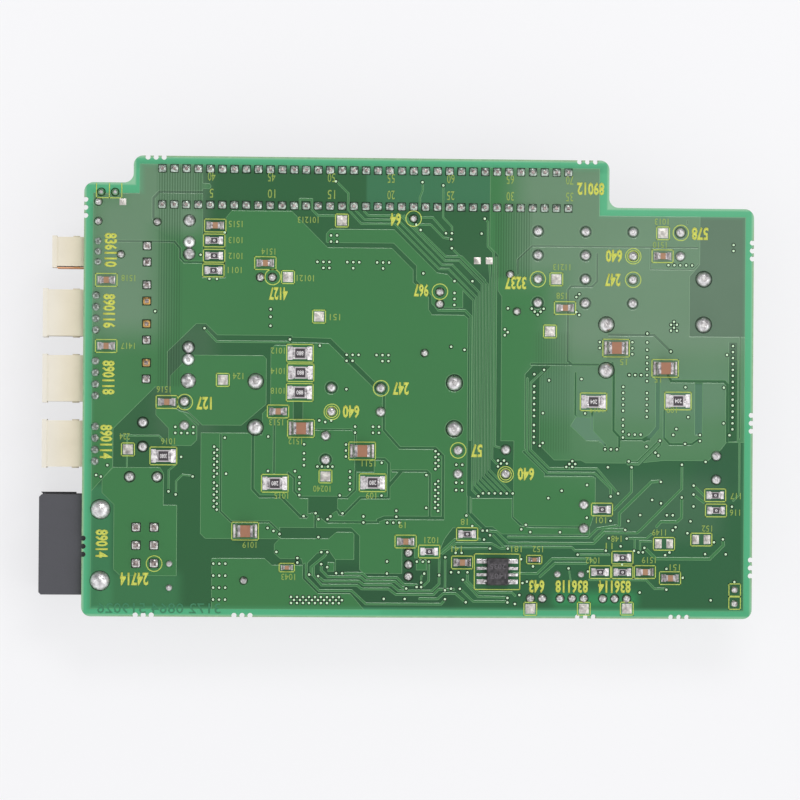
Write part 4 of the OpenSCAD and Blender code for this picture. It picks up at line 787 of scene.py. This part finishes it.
def carry_out(tree, mesh, name, values=None):
    """Runs a tree on a mesh and keeps the result as a plain piece."""
    base = put(name + "_plan", mesh)
    step = base.modifiers.new("tree", "NODES")
    step.node_group = tree
    for item in tree.interface.items_tree:
        if item.item_type == "SOCKET" and item.in_out == "INPUT" and item.name in (values or {}):
            step[item.identifier] = values[item.name]
    bpy.context.view_layer.update()
    graph = bpy.context.evaluated_depsgraph_get()
    done = bpy.data.meshes.new_from_object(base.evaluated_get(graph))
    done.name = name
    bpy.data.objects.remove(base)
    return put(name, done)


holes = [(44, l) for l in range(37, 58, 2)]
holes += [(45, l) for l in (36, 38, 40, 42, 44, 48, 50, 52, 54, 56)]
holes += [(118, l) for l in (37, 39, 41, 43, 45, 50, 52, 54, 56)]
holes += [(119, l) for l in (36, 38, 40, 42, 44, 46, 51, 53, 55)]
holes += [(k, l) for k in (44, 46, 48) for l in (18, 14, 10, 6)]
holes += [(k, l) for l in (7, 5) for k in range(70, 87, 2)] + [(k, 6) for k in range(71, 88, 2)]
holes += [(151, l) for l in (78, 76, 74, 72, 70, 68, 65, 63, 61, 59)]
holes += [(181, l) for l in (78, 76, 74, 72, 70, 67, 65, 63, 61)]
holes += [(189, l) for l in (93, 90.5, 88, 86, 84, 82, 80, 76, 74, 72, 70, 68)]
holes += [(218, l) for l in range(64, 93, 2)] + [(k, 62) for k in (183, 185, 187)]
holes += [(k, 42) for k in range(134, 145, 2)] + [(k, 119) for k in range(196, 205, 2)]
holes += [(72.5, l) for l in (47, 45, 43, 41)] + [(89.4, l) for l in (49, 47, 45, 43)]
holes += [(74, l) for l in (58, 55, 53, 51)] + [(88, l) for l in (58, 56, 54)]
holes += clusters + ringed_holes
hole_rows = {
    6.5: (101, 108, 121.5, 211), 10: (108.5, 123.5, 126.5, 196), 15: (85, 87, 102, 114.5),
    17: (82, 163, 196), 19: (112, 114, 116), 22: (65, 80, 82, 125, 127, 209, 216),
    22.5: (186.5, 188, 197), 30: (62, 147, 182, 198), 33: (79, 82, 177, 183, 204),
    34: (74, 83, 169), 35: (78, 87, 187, 196, 198), 41: (31.3, 86, 100, 132.5, 201),
    51: (139, 162, 164, 176, 184), 52: (100, 140, 142, 163, 165, 201),
    53: (139, 141, 164, 183, 209), 60: (47.5, 193.5, 207), 61.5: (31, 33, 35, 37),
    62: (91, 97, 99, 198, 207, 217), 64: (91, 97, 99, 199), 66: (79, 83, 215), 91: (79, 173, 184),
    93: (69, 173, 184), 97: (141, 197, 199), 113: (42, 44.5, 124, 130), 129: (121, 123, 133)}
holes += [(k, l) for l, ks in hole_rows.items() for k in ks]
holes += [
    (4.8, 47.3), (6.4, 46.8), (8.5, 50.6), (28.9, 42), (36.9, 47), (33, 53.5), (48, 48), (64, 29),
    (66, 28), (79, 27), (71, 49), (62, 49), (39, 121), (47, 128.5), (40.5, 96.5), (31, 63.5),
    (37, 63.5), (115, 48), (115, 37), (81, 65.5), (62, 60.5), (80, 18), (76, 14.5), (79, 14),
    (119.5, 14.5), (113.5, 12), (113.5, 10.5), (112, 10.5), (121.5, 20.5), (121.5, 9.5),
    (127.5, 13), (129, 15.5), (126, 15.5), (136.5, 23.5), (142.5, 23.5), (134, 29.5),
    (135.5, 29.5), (136.5, 28), (134.5, 26.5), (128.5, 34.5), (130.5, 31), (128.5, 5.5),
    (142.5, 7), (142.5, 5.5), (145, 5), (146.5, 8), (147.5, 12), (149, 12.5), (147, 20),
    (151, 17.6), (148.5, 31.5), (150, 29.1), (160, 29.1), (156, 40.5), (169, 45), (166, 21.6),
    (169.5, 16), (193.9, 46.2), (191, 40.1), (194, 39), (177, 41.2), (179.5, 42.2), (182.5, 27.1),
    (176.5, 27.2), (175.5, 23), (180.5, 24.5), (181, 18.4), (185, 23), (188.5, 24), (195.5, 21.6),
    (199, 31), (205, 45), (205, 42), (205, 38), (203, 29), (212, 26), (215, 27), (218, 38),
    (187, 9), (201.5, 14), (219, 12.7), (151, 82), (154.3, 83.5), (156, 80), (154, 59), (153, 58),
    (154, 69), (166.9, 80.5), (184, 89), (202, 78), (203, 68), (202, 59), (215, 78), (216, 89),
    (189, 58), (192, 56), (193, 55), (198, 100), (197, 99), (199, 99), (198, 98), (168.2, 69),
    (218, 126), (218, 124), (165, 108), (166, 109), (165, 103), (166, 102), (142, 96), (141, 95),
    (112.5, 130), (122.8, 127), (123, 124), (134, 134), (120, 145), (113, 146), (84, 146),
    (82.5, 127.9), (84.5, 127.9), (82.5, 125.8), (84.5, 125.8), (124, 109), (124, 107), (124, 105),
    (111, 131.8)]

tree, given = recipe("plated_hole_rings", {
    "Ring radius": 0.00026, "Hole radius": 0.00008, "Height": 0.00003})
ring = tool(tree, "GeometryNodeMeshCone", named={
    "Vertices": 14, "Radius Bottom": given["Ring radius"], "Depth": given["Height"],
    "Radius Top": sums(tree, "MULTIPLY", given["Ring radius"], 0.82)})
crown = tool(tree, "GeometryNodeMeshCone", named={
    "Vertices": 10, "Radius Bottom": given["Hole radius"], "Radius Top": given["Hole radius"],
    "Depth": 0.000034})
# under each ring a disc a little wider, in the material of the dark surround of the solder
dark_surround_disc = tool(tree, "GeometryNodeMeshCylinder", named={
    "Vertices": 12, "Radius": sums(tree, "ADD", given["Ring radius"], 0.0002), "Depth": 0.00002})
joined = tool(tree, "GeometryNodeJoinGeometry")
for part, material in (
        (ring, finish("tinned_copper", (216, 248, 208), 0.45, grain=1500, bump=0.2)),
        (crown, finish("drilled_hole", (120, 140, 110), 0.6, grain=1500)),
        (dark_surround_disc, skin_mesh.materials[DARK_SURROUND])):
    tree.links.new(coated(tree, part.outputs["Mesh"], material), joined.inputs[0])
close(tree, stamped(tree, given, joined.outputs[0]))
plated_holes = carry_out(tree, plan("hole_plan", lane(holes), 17.64), "plated_holes")
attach(plated_holes, "root")

# ---------------------------------------------------------------- bare pads
# Tinned pads left open for probes and for parts that aren't fitted, each a thin raised square.
# The solder lies on them in soft patches, light and dark.
PAD_Z = 17.66


def tin(name, dark, light, rough=0.28, vary=0.06, grain=1500, bump=0.3, patch=0.16, lump=0.0002,
        metal=1.0, spots=()):
    """Solder that froze: a lumpy metal skin with dark and light patches."""
    return finish(name, dark, rough, second=light, metal=metal, vary=vary, grain=grain,
                  bump=bump, patch=patch, lump=lump, spots=spots)


pad_tree, given = recipe("open_pads", {"Rim": 0.12, "Finish": None})
plate = tool(pad_tree, "GeometryNodeMeshCone", named={
    "Vertices": 4, "Radius Top": given["Rim"], "Radius Bottom": 0.7071, "Depth": 1.0})
square_up = tool(pad_tree, "GeometryNodeTransform", plate.outputs["Mesh"], named={
    "Rotation": (0, 0, math.radians(45))})
close(pad_tree, stamped(pad_tree, given, square_up.outputs[0], Scale=marked(pad_tree, "pad_size")),
      given["Finish"])
probe_pads = [
    (68.2, 113.8), (86.1, 132.9), (78.7, 100.7), (46.7, 79.3), (81.2, 47.3), (15.3, 55.9),
    (158.2, 113.9), (156.2, 96.4), (194.1, 129.7), (150.2, 3.4), (168.2, 3.5), (182.7, 3.6)]
pads = [(p, 3.3, 3.3) for p in probe_pads]
pads += [((193.2, 25.4), 2.2, 3.0), ((197.0, 25.4), 2.2, 3.0), ((205.8, 26.9), 2.2, 3.0),
         ((209.6, 26.9), 2.2, 3.0), ((131.6, 119.9), 2.3, 2.3), ((135.6, 119.9), 2.3, 2.3),
         ((13, 138.4), 2.2, 2.2)]
bright_pad = tin("tinned_pads", (186, 180, 174), (238, 234, 226), 0.36, vary=0.05, grain=1100,
                 bump=0.4, patch=0.2, lump=0.00008)
open_pads = carry_out(
    pad_tree, plan("pad_plan", [spot(*p) for p, _, _ in pads], PAD_Z, "pad_size",
                   [(w * STEP / 1000, d * STEP / 1000, 0.00007) for _, w, d in pads]),
    "open_pads", {"Finish": bright_pad})
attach(open_pads, "root")

# ---------------------------------------------------------------- printed legend
# Yellow ink printed through a screen on the lacquer: boxes round the chips, rings round the test
# points, and numbers. Most of it is read from the far side.
INK_Z = 17.652
LINE = 0.2
ink = finish("legend_ink", (200, 206, 84), 0.5, grain=1200, vary=0.12, bump=0.2)
line_ink = finish("legend_line_ink", (184, 204, 92), 0.5, grain=1200, vary=0.12, bump=0.2)
faint_ink = finish("thin_legend_ink", (140, 165, 72), 0.5, grain=1500, vary=0.15, bump=0.2)
tree, given = recipe("ink_lines", {"Line width": 0.00024, "Ink height": 0.000016})
follow = tool(tree, "GeometryNodeMeshToCurve", given["Geometry"])
nib = tool(tree, "GeometryNodeCurvePrimitiveQuadrilateral", named={
    "Width": given["Line width"], "Height": given["Ink height"]})
drawn = tool(tree, "GeometryNodeCurveToMesh", named={
    "Curve": follow.outputs[0], "Profile Curve": nib.outputs[0], "Fill Caps": True})
close(tree, drawn.outputs[0], line_ink)
dots, ways = [], []


def draw_line(a, b):
    a, b = Vector(a), Vector(b)
    u = (b - a).normalized() * LINE / 2
    ways.append((len(dots), len(dots) + 1))
    dots.extend([tuple(a - u), tuple(b + u)])


def draw_box(k, l, w, d):
    x, y = spot(k, l)
    w, d = w * STEP / 2, d * STEP / 2
    c = [(x - w, y - d), (x + w, y - d), (x + w, y + d), (x - w, y + d)]
    for i in range(4):
        draw_line(c[i], c[(i + 1) % 4])


def draw_ring(k, l, radius, sides=36):
    base = len(dots)
    dots.extend(disc(spot(k, l), radius * STEP, sides))
    ways.extend((base + i, base + (i + 1) % sides) for i in range(sides))


small_resistors = [
    (43.5, 125.8), (43.5, 120.7), (43.3, 115.8), (116.1, 22.4), (128.8, 28.3), (174.1, 36.8),
    (181.1, 20.7), (173.6, 15.8), (181.1, 15.8), (212.3, 41.8), (212.6, 36.7)]
large_resistors = [(27.1, 53.8), (72.4, 88.4), (72.6, 81.9), (72.4, 75.3), (64.3, 44.9),
                   (97, 45.3), (171, 72.9), (199.5, 73.4)]
other_small = [
    (43.8, 130.8), (60.6, 118.4), (7.7, 112.3), (7.8, 90.3), (28.1, 71.8), (65.2, 68.9),
    (161.2, 104.3), (194, 122), (108.2, 25.7), (127.2, 18.8), (188.7, 15.9), (197.2, 13.9),
    (195.1, 25.4), (207.7, 26.9)]
other_large = [(72.9, 63.3), (93.4, 55.9), (178.5, 91), (195.1, 84.3), (54.5, 28.9)]
for width, depth, places in (
        (7.1, 4.25, small_resistors + other_small), (8.9, 5.9, large_resistors + other_large),
        (5.1, 2.8, [(68.5, 16.8), (151.4, 19.9)]), (4.3, 4.3, probe_pads),
        (15.3, 11.9, [(138.95, 15.75)]), (3.9, 4.1, [(219.1, 10), (219.1, 5.6)])):
    for k, l in places:
        draw_box(k, l, width, depth)
for k in (4.2, 8.5, 12.6):
    draw_line(spot(k, 139.7), spot(k, 144.4))
draw_line(spot(4.2, 139.7), spot(12.6, 139.7))
for radius, places in (
        (2.6, [(63.1, 113.8), (110.1, 133.8), (119.1, 109.4), (200.1, 129.9), (184.1, 121.9),
               (184.1, 114), (152, 113.9), (34.1, 71.8), (99.6, 76.9), (83.2, 68.9),
               (125.6, 56.3), (141.6, 48.4), (24.3, 17.9)]),
        (1.9, [(184.1, 121.9), (83.2, 68.9), (141.6, 48.4)])):
    for k, l in places:
        draw_ring(k, l, radius)
lines = bpy.data.meshes.new("line_plan")
lines.from_pydata([(x / 1000, y / 1000, INK_Z / 1000) for x, y in dots], ways, [])
legend_lines = carry_out(tree, lines, "legend_lines", {"Line width": LINE / 1000})
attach(legend_lines, "root")


def number(text, k, l, wide, tall_by, turn, material, weight=0.0, z=INK_Z, mirrored=False):
    """Digits fitted to a box of grid steps, turned about its middle."""
    curve = bpy.data.curves.new("digits", "FONT")
    curve.body, curve.size, curve.offset = text, 1.0, weight
    curve.resolution_u, curve.extrude = 2, 0.0
    maker = put("digits", curve)
    bpy.context.view_layer.update()
    graph = bpy.context.evaluated_depsgraph_get()
    mesh = bpy.data.meshes.new_from_object(maker.evaluated_get(graph))
    bpy.data.objects.remove(maker)
    xs, ys = [v.co.x for v in mesh.vertices], [v.co.y for v in mesh.vertices]
    sx = wide * STEP / 1000 / (max(xs) - min(xs)) * (-1 if mirrored else 1)
    sy = tall_by * STEP / 1000 / (max(ys) - min(ys))
    x, y = spot(k, l)
    mesh.transform(Matrix.Translation((x / 1000, y / 1000, z / 1000))
                   @ Matrix.Rotation(math.radians(turn), 4, "Z") @ Matrix.Diagonal((sx, sy, 1, 1))
                   @ Matrix.Translation((-(max(xs) + min(xs)) / 2, -(max(ys) + min(ys)) / 2, 0)))
    mesh.materials.clear()
    mesh.materials.append(material)
    return mesh


def print_numbers(name, meshes, depth):
    """Joins the digits to one piece and gives the ink its thickness."""
    whole = bmesh.new()
    for m in meshes:
        whole.from_mesh(m)
    flat = list(whole.faces)
    for f in flat:
        if f.normal.z < 0:
            f.normal_flip()
    raised = bmesh.ops.extrude_face_region(whole, geom=flat)["geom"]
    for v in raised:
        if isinstance(v, bmesh.types.BMVert):
            v.co.z += depth / 1000
    for f in flat:
        if f.is_valid:
            f.normal_flip()
    bmesh.ops.recalc_face_normals(whole, faces=whole.faces)
    mesh = bpy.data.meshes.new(name)
    whole.to_mesh(mesh)
    whole.free()
    mesh.materials.append(meshes[0].materials[0])
    piece = put(name, mesh)
    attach(piece, "root")


# bold numbers at the test points and connectors: the figures, place and width
bold = [
    ("4127", 65, 108.3, 6.2), ("64", 104.1, 133.4, 3.6), ("967", 112.8, 109.8, 5.0),
    ("578", 206.6, 129.7, 5.6), ("640", 177.6, 121.9, 5.6), ("247", 177.2, 113.9, 5.2),
    ("3237", 144.5, 112.6, 7.2), ("127", 40.5, 71.5, 5.2), ("247", 106.2, 76.9, 5.4),
    ("640", 89.6, 69, 5.6), ("57", 131.8, 56.3, 3.8), ("640", 148.4, 48.5, 5.6),
    ("24714", 17.7, 12.8, 9.4), ("89012", 169.6, 144.4, 9.2), ("643", 152.3, 10.9, 5.2),
    ("836118", 164.1, 10.9, 11.0), ("836114", 178.5, 10.9, 11.0)]
upright = [("836110", 9.1, 122.3, 11.4), ("890116", 8.7, 102, 11.4), ("890118", 8.6, 79.8, 11.4),
           ("890114", 8, 58.4, 11.4), ("89014", 6.8, 24.5, 9.4)]
labels = [number(t, k, l, w, 4.4, 180, ink, 0.035) for t, k, l, w in bold]
labels += [number(t, k, l, w, 4.3, 270, ink, 0.035) for t, k, l, w in upright]
print_numbers("legend_bold_numbers", labels, 0.016)

# thin numbers beside the chips, and the count along the socket's rows
fine_numbers = [ ("1019", 56, 24.3), ("1015", 66.5, 40.8), ("1043", 69, 13.7), ("224", 14.2, 60.2),
                ("1016", 28.6, 58.7), ("1516", 27, 76), ("1417", 15, 90.4), ("124", 51.8, 80.6),
                ("1012", 65, 89.2), ("1014", 65, 82.4), ("1018", 65, 75.8), ("1513", 64.6, 65.3),
                ("1512", 71, 59), ("1515", 50.6, 131.4), ("1013", 50.6, 126),
                ("1012", 50.6, 120.7), ("1011", 50.4, 116), ("1514", 61.6, 122.3),
                ("10121", 74, 113.5), ("1518", 15, 113), ("101213", 74.8, 133), ("151", 84, 100.6),
                ("19", 107, 31.2), ("1021", 116.8, 26.2), ("1511", 95.6, 51.8), ("109", 96.5, 41),
                ("10240", 80, 43.2), ("18", 127.8, 32.4), ("141", 125.3, 23.3),
                ("181", 145.4, 23.4), ("152", 152.6, 23.4), ("101", 173.8, 33.2), ("148", 179, 27),
                ("11", 176.6, 24.6), ("1042", 171, 19.7), ("1519", 190, 19.9),
                ("1149", 193.4, 29.2), ("152", 209.6, 30.6), ("151", 198.8, 17.5),
                ("117", 219.2, 41.6), ("116", 219, 36), ("1015", 172, 70.4), ("109", 197.4, 70.4),
                ("15", 181, 86.4), ("15", 192.6, 80.6), ("1013", 193.6, 133.6),
                ("1510", 193, 125.8), ("11213", 160, 118), ("158", 160, 108.4)]
small = [number(t, k, l, 1.15 * len(t), 2.1, 180, faint_ink) for t, k, l in fine_numbers]
for first, row in ((0, 141.6), (35, 147.2)):
    for n in range(5, 36, 5):
        wide = 2.5 if first + n > 9 else 1.3
        small.append(number(str(first + n), main_row[n - 1] + 0.4, row, wide, 3.0, 180, faint_ink))
print_numbers("legend_fine_numbers", small, 0.014)

# figures etched in the foil of the far side show through the rim, the wrong way round and faint
etched = finish("etched_figures", (54, 124, 86), 0.4, grain=900, vary=0.1, bump=0.1)
far_side = number("3172 0864 519026", 26, 3.05, 41, 3.4, 0, etched, z=17.637, mirrored=True)
print_numbers("etched_figures", [far_side], 0.012)

# ---------------------------------------------------------------- soldered joints
# Drops of solder drawn up the pins by the wave: bright, smooth, with a duller skin where they
# cooled. Three of the fuse joints kept the colour of the bare copper.


def band(row, half, colour, shift=0.0):
    """A row of joints in another colour: the row in grid steps, its half width and shift in m."""
    return ((LOWER + STEP * row) / 1000 + shift, half, colour)


dress(tin("wave_solder", (180, 176, 176), (238, 236, 236), 0.3, vary=0.05, grain=1000, patch=0.2,
          lump=0.00014),
      "choke_joints", "board_lock_joints", "surge_absorber_joints", "filter_capacitor_joints",
      "board_locks")
# the middle joint of each line filter froze flat; the bright reflection of its flat top is painted
# white into its colour
dress(tin("filter_solder", (150, 148, 148), (232, 230, 230), 0.36, vary=0.05, grain=1000,
          patch=0.14, lump=0.00012, spots=(band(125.2, 0.0012, (255, 255, 255)),
                                           band(86, 0.0012, (255, 255, 255)))),
      "line_filter_joints")
dress(tin("small_joint_solder", (140, 136, 134), (236, 234, 230)),
      "power_inlet_joints", "edge_header_joints", "pin_strip_joints")
# along the socket the solder is tinted green, a painted reflection of the green round it, and the
# lamps' joints are green-grey in their row
dress(tin("socket_solder", (108, 118, 109), (204, 216, 205)), "main_connector_joints")
dress(tin("post_solder", (140, 136, 134), (236, 234, 230),
          spots=(band(141.6, 0.001, (128, 164, 132)),)), "test_post_joints")
dress(tin("dull_header_solder", (104, 120, 108), (196, 204, 196), 0.32, metal=0.9),
      "output_header_joints", "signal_header_joints")
PAD_SHIFT = 0.00171
fuse_row, fuse_step = 82.1, 0.013 * 0.635
dress(tin("fuse_solder", (128, 126, 122), (236, 234, 230),
          spots=(band(fuse_row, 0.0014, (190, 152, 92), fuse_step + PAD_SHIFT),
                 band(fuse_row, 0.0014, (188, 150, 92), 2 * fuse_step - PAD_SHIFT),
                 band(fuse_row, 0.0014, (184, 150, 100), PAD_SHIFT))), "fuse_joints")
dress(tin("tinned_pins", (196, 190, 190), (240, 238, 236), 0.3, vary=0.05, grain=1300, patch=0.2,
          lump=0.00014),
      "filter_capacitor_leads", "choke_leads", "line_filter_leads", "surge_absorber_leads",
      "test_posts", "indicator_lamp_leads", "edge_header_pins", "pin_strip_pins")
dress(tin("contact_pins", (116, 100, 98), (190, 178, 174), 0.38, grain=2000, bump=0.4,
          lump=0.0001),
      "main_connector_contacts", "power_inlet_pins", "fuse_terminals")
dress(finish("dull_pins", (128, 132, 126), 0.45, metal=0.9, vary=0.15, grain=1500, bump=0.4),
      "output_header_pins", "signal_header_pins")

# ---------------------------------------------------------------- chip resistors
# A white ceramic slab with wrapped ends, its film under a black glaze printed with its value.
# The glaze is a window set in from the edges, and the solder climbs the ends.
dress(finish("resistor_ceramic", (192, 186, 188), 0.4, vary=0.06, grain=900, bump=0.2),
      "small_resistor_bodies", "large_resistor_bodies")
end_solder = tin("soldered_resistor_ends", (156, 150, 152), (242, 238, 238), grain=1300, patch=0.2)
dress(end_solder, "small_resistor_terminals", "large_resistor_terminals")
black_glaze = finish("resistor_glaze", (66, 60, 64), 0.35, vary=0.15, grain=1500, bump=0.2)
pale_mark = finish("resistor_marking", (226, 222, 222), 0.5, grain=1500, bump=0.1)
tops = {}
for label, places, w, d in (("large", large_resistors, 2.05, 2.0),
                            ("small", small_resistors, 1.5, 1.08)):
    tops[label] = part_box(label + "_resistor_bodies")[1].z * 1000
    glaze_plan = plan(label + "_glaze_plan", lane(places), tops[label] + 0.004, "pad_size",
                      [(w / 1000, d / 1000, 0.000016)] * len(places))
    windows = carry_out(pad_tree, glaze_plan, label + "_resistor_glaze",
                        {"Finish": black_glaze, "Rim": 0.69})
    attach(windows, "root")
values = ("3080", "880", "880", "880", "280", "280", "204", "204")
marks = [number(t, k, l, 2.3, 1.5, 180, pale_mark, 0.02, tops["large"] + 0.014)
         for (k, l), t in zip(large_resistors, values)]
marks += [number("0", k, l, 0.9, 0.85, 180, pale_mark, 0.04, tops["small"] + 0.014)
          for k, l in small_resistors]
print_numbers("resistor_values", marks, 0.008)

# ---------------------------------------------------------------- chip capacitors
# Fired blocks of brown ceramic with grey metal ends. They lie flat on the board, and the solder
# of their pads holds them by both ends.
dress(finish("large_capacitor_clay", (158, 110, 84), 0.42, vary=0.10, grain=1100, bump=0.25),
      "large_capacitor_bodies")
dress(finish("small_capacitor_clay", (164, 124, 94), 0.42, vary=0.12, grain=1100, bump=0.25),
      "small_capacitor_bodies")
dress(tin("capacitor_ends", (142, 132, 136), (226, 220, 220), 0.3, grain=1200, patch=0.2,
          lump=0.00018), "small_capacitor_terminals", "large_capacitor_terminals")

# ---------------------------------------------------------------- chips
# The interface chip is moulded in black resin. Its eight formed leads stand in wide bright pools
# of solder. The chips on the component side are of the same resin, with the same leads.
dress(finish("moulded_chip_resin", (33, 32, 35), 0.5, vary=0.1, grain=1100, bump=0.8,
             second=(72, 68, 71), patch=0.14), "interface_chip_body", "underside_chip_bodies")
dress(end_solder, "interface_chip_leads", "underside_chip_leads")
LEAD_PITCH, POOL_OUT, POOL_LONG = 1.34, 3.35, 2.1
chip_x, chip_y = spot(139, 15.8)
pools, pool_sizes = [], []
for side in (-1, 1):
    for i in range(4):
        # the pools at the corners are wider, and spread outwards
        row, at_corner = i - 1.5, i in (0, 3)
        pools.append((chip_x + side * POOL_OUT,
                      chip_y + row * LEAD_PITCH + (0.12 * row if at_corner else 0)))
        pool_sizes.append((POOL_LONG / 1000, (0.92 if at_corner else 0.62) / 1000, 0.00009))
chip_pools = carry_out(pad_tree, plan("pool_plan", pools, PAD_Z, "pad_size", pool_sizes),
                       "interface_chip_solder", {"Finish": end_solder, "Rim": 0.4})
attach(chip_pools, "root")
faded_print = finish("chip_print", (92, 88, 92), 0.6, grain=2500, vary=0.3, bump=0.3)
chip_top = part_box("interface_chip_body")[1].z * 1000
print_numbers("interface_chip_print", [
    number(t, 139, l, 5.4, 1.9, 180, faded_print, 0.02, chip_top + 0.004)
    for t, l in (("2035", 17.6), ("1407", 14.4))], 0.008)

# ---------------------------------------------------------------- connectors
# Black socket and inlet: moulded glass-filled nylon with a satin, slightly mottled face.
# Cream headers: natural nylon, one with an amber strip. Their outer ends are painted paler: a
# painted washout of the light on them.
dress(finish("black_nylon", (75, 75, 80), 0.55, vary=0.07, grain=420, bump=0.35),
      "main_connector_housing", "power_inlet_housing", "pin_strip_bases")
dress(finish("cream_nylon", (218, 207, 180), 0.5, vary=0.04, grain=200, bump=0.2,
             second=(230, 220, 198), washout=(-0.068, -0.0775, (232, 227, 215))),
      "output_header_lower", "output_header_middle", "output_header_upper",
      "signal_header_housing", "edge_header_left", "edge_header_middle", "edge_header_right")
dress(finish("amber_film", (224, 150, 90), 0.3, vary=0.1, grain=300, bump=0.1),
      "signal_header_strip")

# ---------------------------------------------------------------- filter capacitors
# A drawn aluminium can in a shrunk printed sleeve, sealed by a rubber bung that the leads pass.
# The sleeve carries a pale stripe on the side of the negative lead.
STRIPE_Z, STRIPE_ARC = 6.6, 0.75
dress(finish("dark_blue_sleeve", (52, 60, 92), 0.35, vary=0.08, grain=260, bump=0.1),
      "filter_capacitor_cans")
dress(finish("rubber_bung", (40, 40, 42), 0.8, vary=0.15, grain=900, bump=0.4),
      "filter_capacitor_seals")
tree, given = recipe("sleeve_stripes", {
    "Can radius": 0.005, "Stripe height": 0.011, "Stripe arc": STRIPE_ARC})
bend = tool(tree, "GeometryNodeCurveArc", named={
    "Resolution": 9, "Radius": given["Can radius"], "Sweep Angle": given["Stripe arc"]})
film = tool(tree, "GeometryNodeCurvePrimitiveQuadrilateral", named={
    "Width": 0.00005, "Height": given["Stripe height"]})
wrap = tool(tree, "GeometryNodeCurveToMesh", named={
    "Curve": bend.outputs["Curve"], "Profile Curve": film.outputs[0], "Fill Caps": True})
close(tree, stamped(tree, given, wrap.outputs[0], Rotation=marked(tree, "facing")),
      finish("sleeve_stripe", (176, 184, 200), 0.35, grain=900, bump=0.1))
facing = [(0, 0, math.radians(90 if y > 0 else -90) - STRIPE_ARC / 2) for _, y in lane(cans)]
sleeve_stripes = carry_out(tree, plan("stripe_plan", lane(cans), STRIPE_Z, "facing", facing),
                           "sleeve_stripes", {"Can radius": 0.00501})
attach(sleeve_stripes, "root")

# ---------------------------------------------------------------- chokes and line filters
# Chokes: a ferrite drum wound with thick enamelled wire that is soldered to its two leads.
# Line filters: windings potted in a moulded blue case with three leads.
dress(finish("ferrite", (64, 64, 68), 0.7, vary=0.15, grain=1500, bump=0.6), "choke_cores")
dress(finish("enamelled_wire", (196, 104, 58), 0.25, metal=0.9, vary=0.1, grain=500, bump=0.15),
      "choke_windings")
dress(finish("filter_case", (48, 66, 110), 0.3, vary=0.08, grain=260, bump=0.15),
      "line_filter_blocks")

# ---------------------------------------------------------------- fuses, absorbers and lamps
# Fuses in a tinted case plug into black holders. Surge absorbers are discs dipped in amber resin.
# The lamps are cast in red resin. All of them are soldered through the board.
dress(finish("fuse_socket", (52, 50, 52), 0.5, vary=0.1, grain=700, bump=0.3), "fuse_holders")
dress(finish("fuse_tint", (190, 90, 60), 0.2, vary=0.08, grain=260, bump=0.05, coat=0.5),
      "fuse_bodies")
dress(finish("absorber_dip", (206, 130, 52), 0.35, vary=0.12, grain=500, bump=0.4),
      "surge_absorber_discs")
dress(finish("lamp_resin", (180, 60, 48), 0.15, vary=0.05, grain=300, bump=0.05, coat=0.4),
      "indicator_lamps")
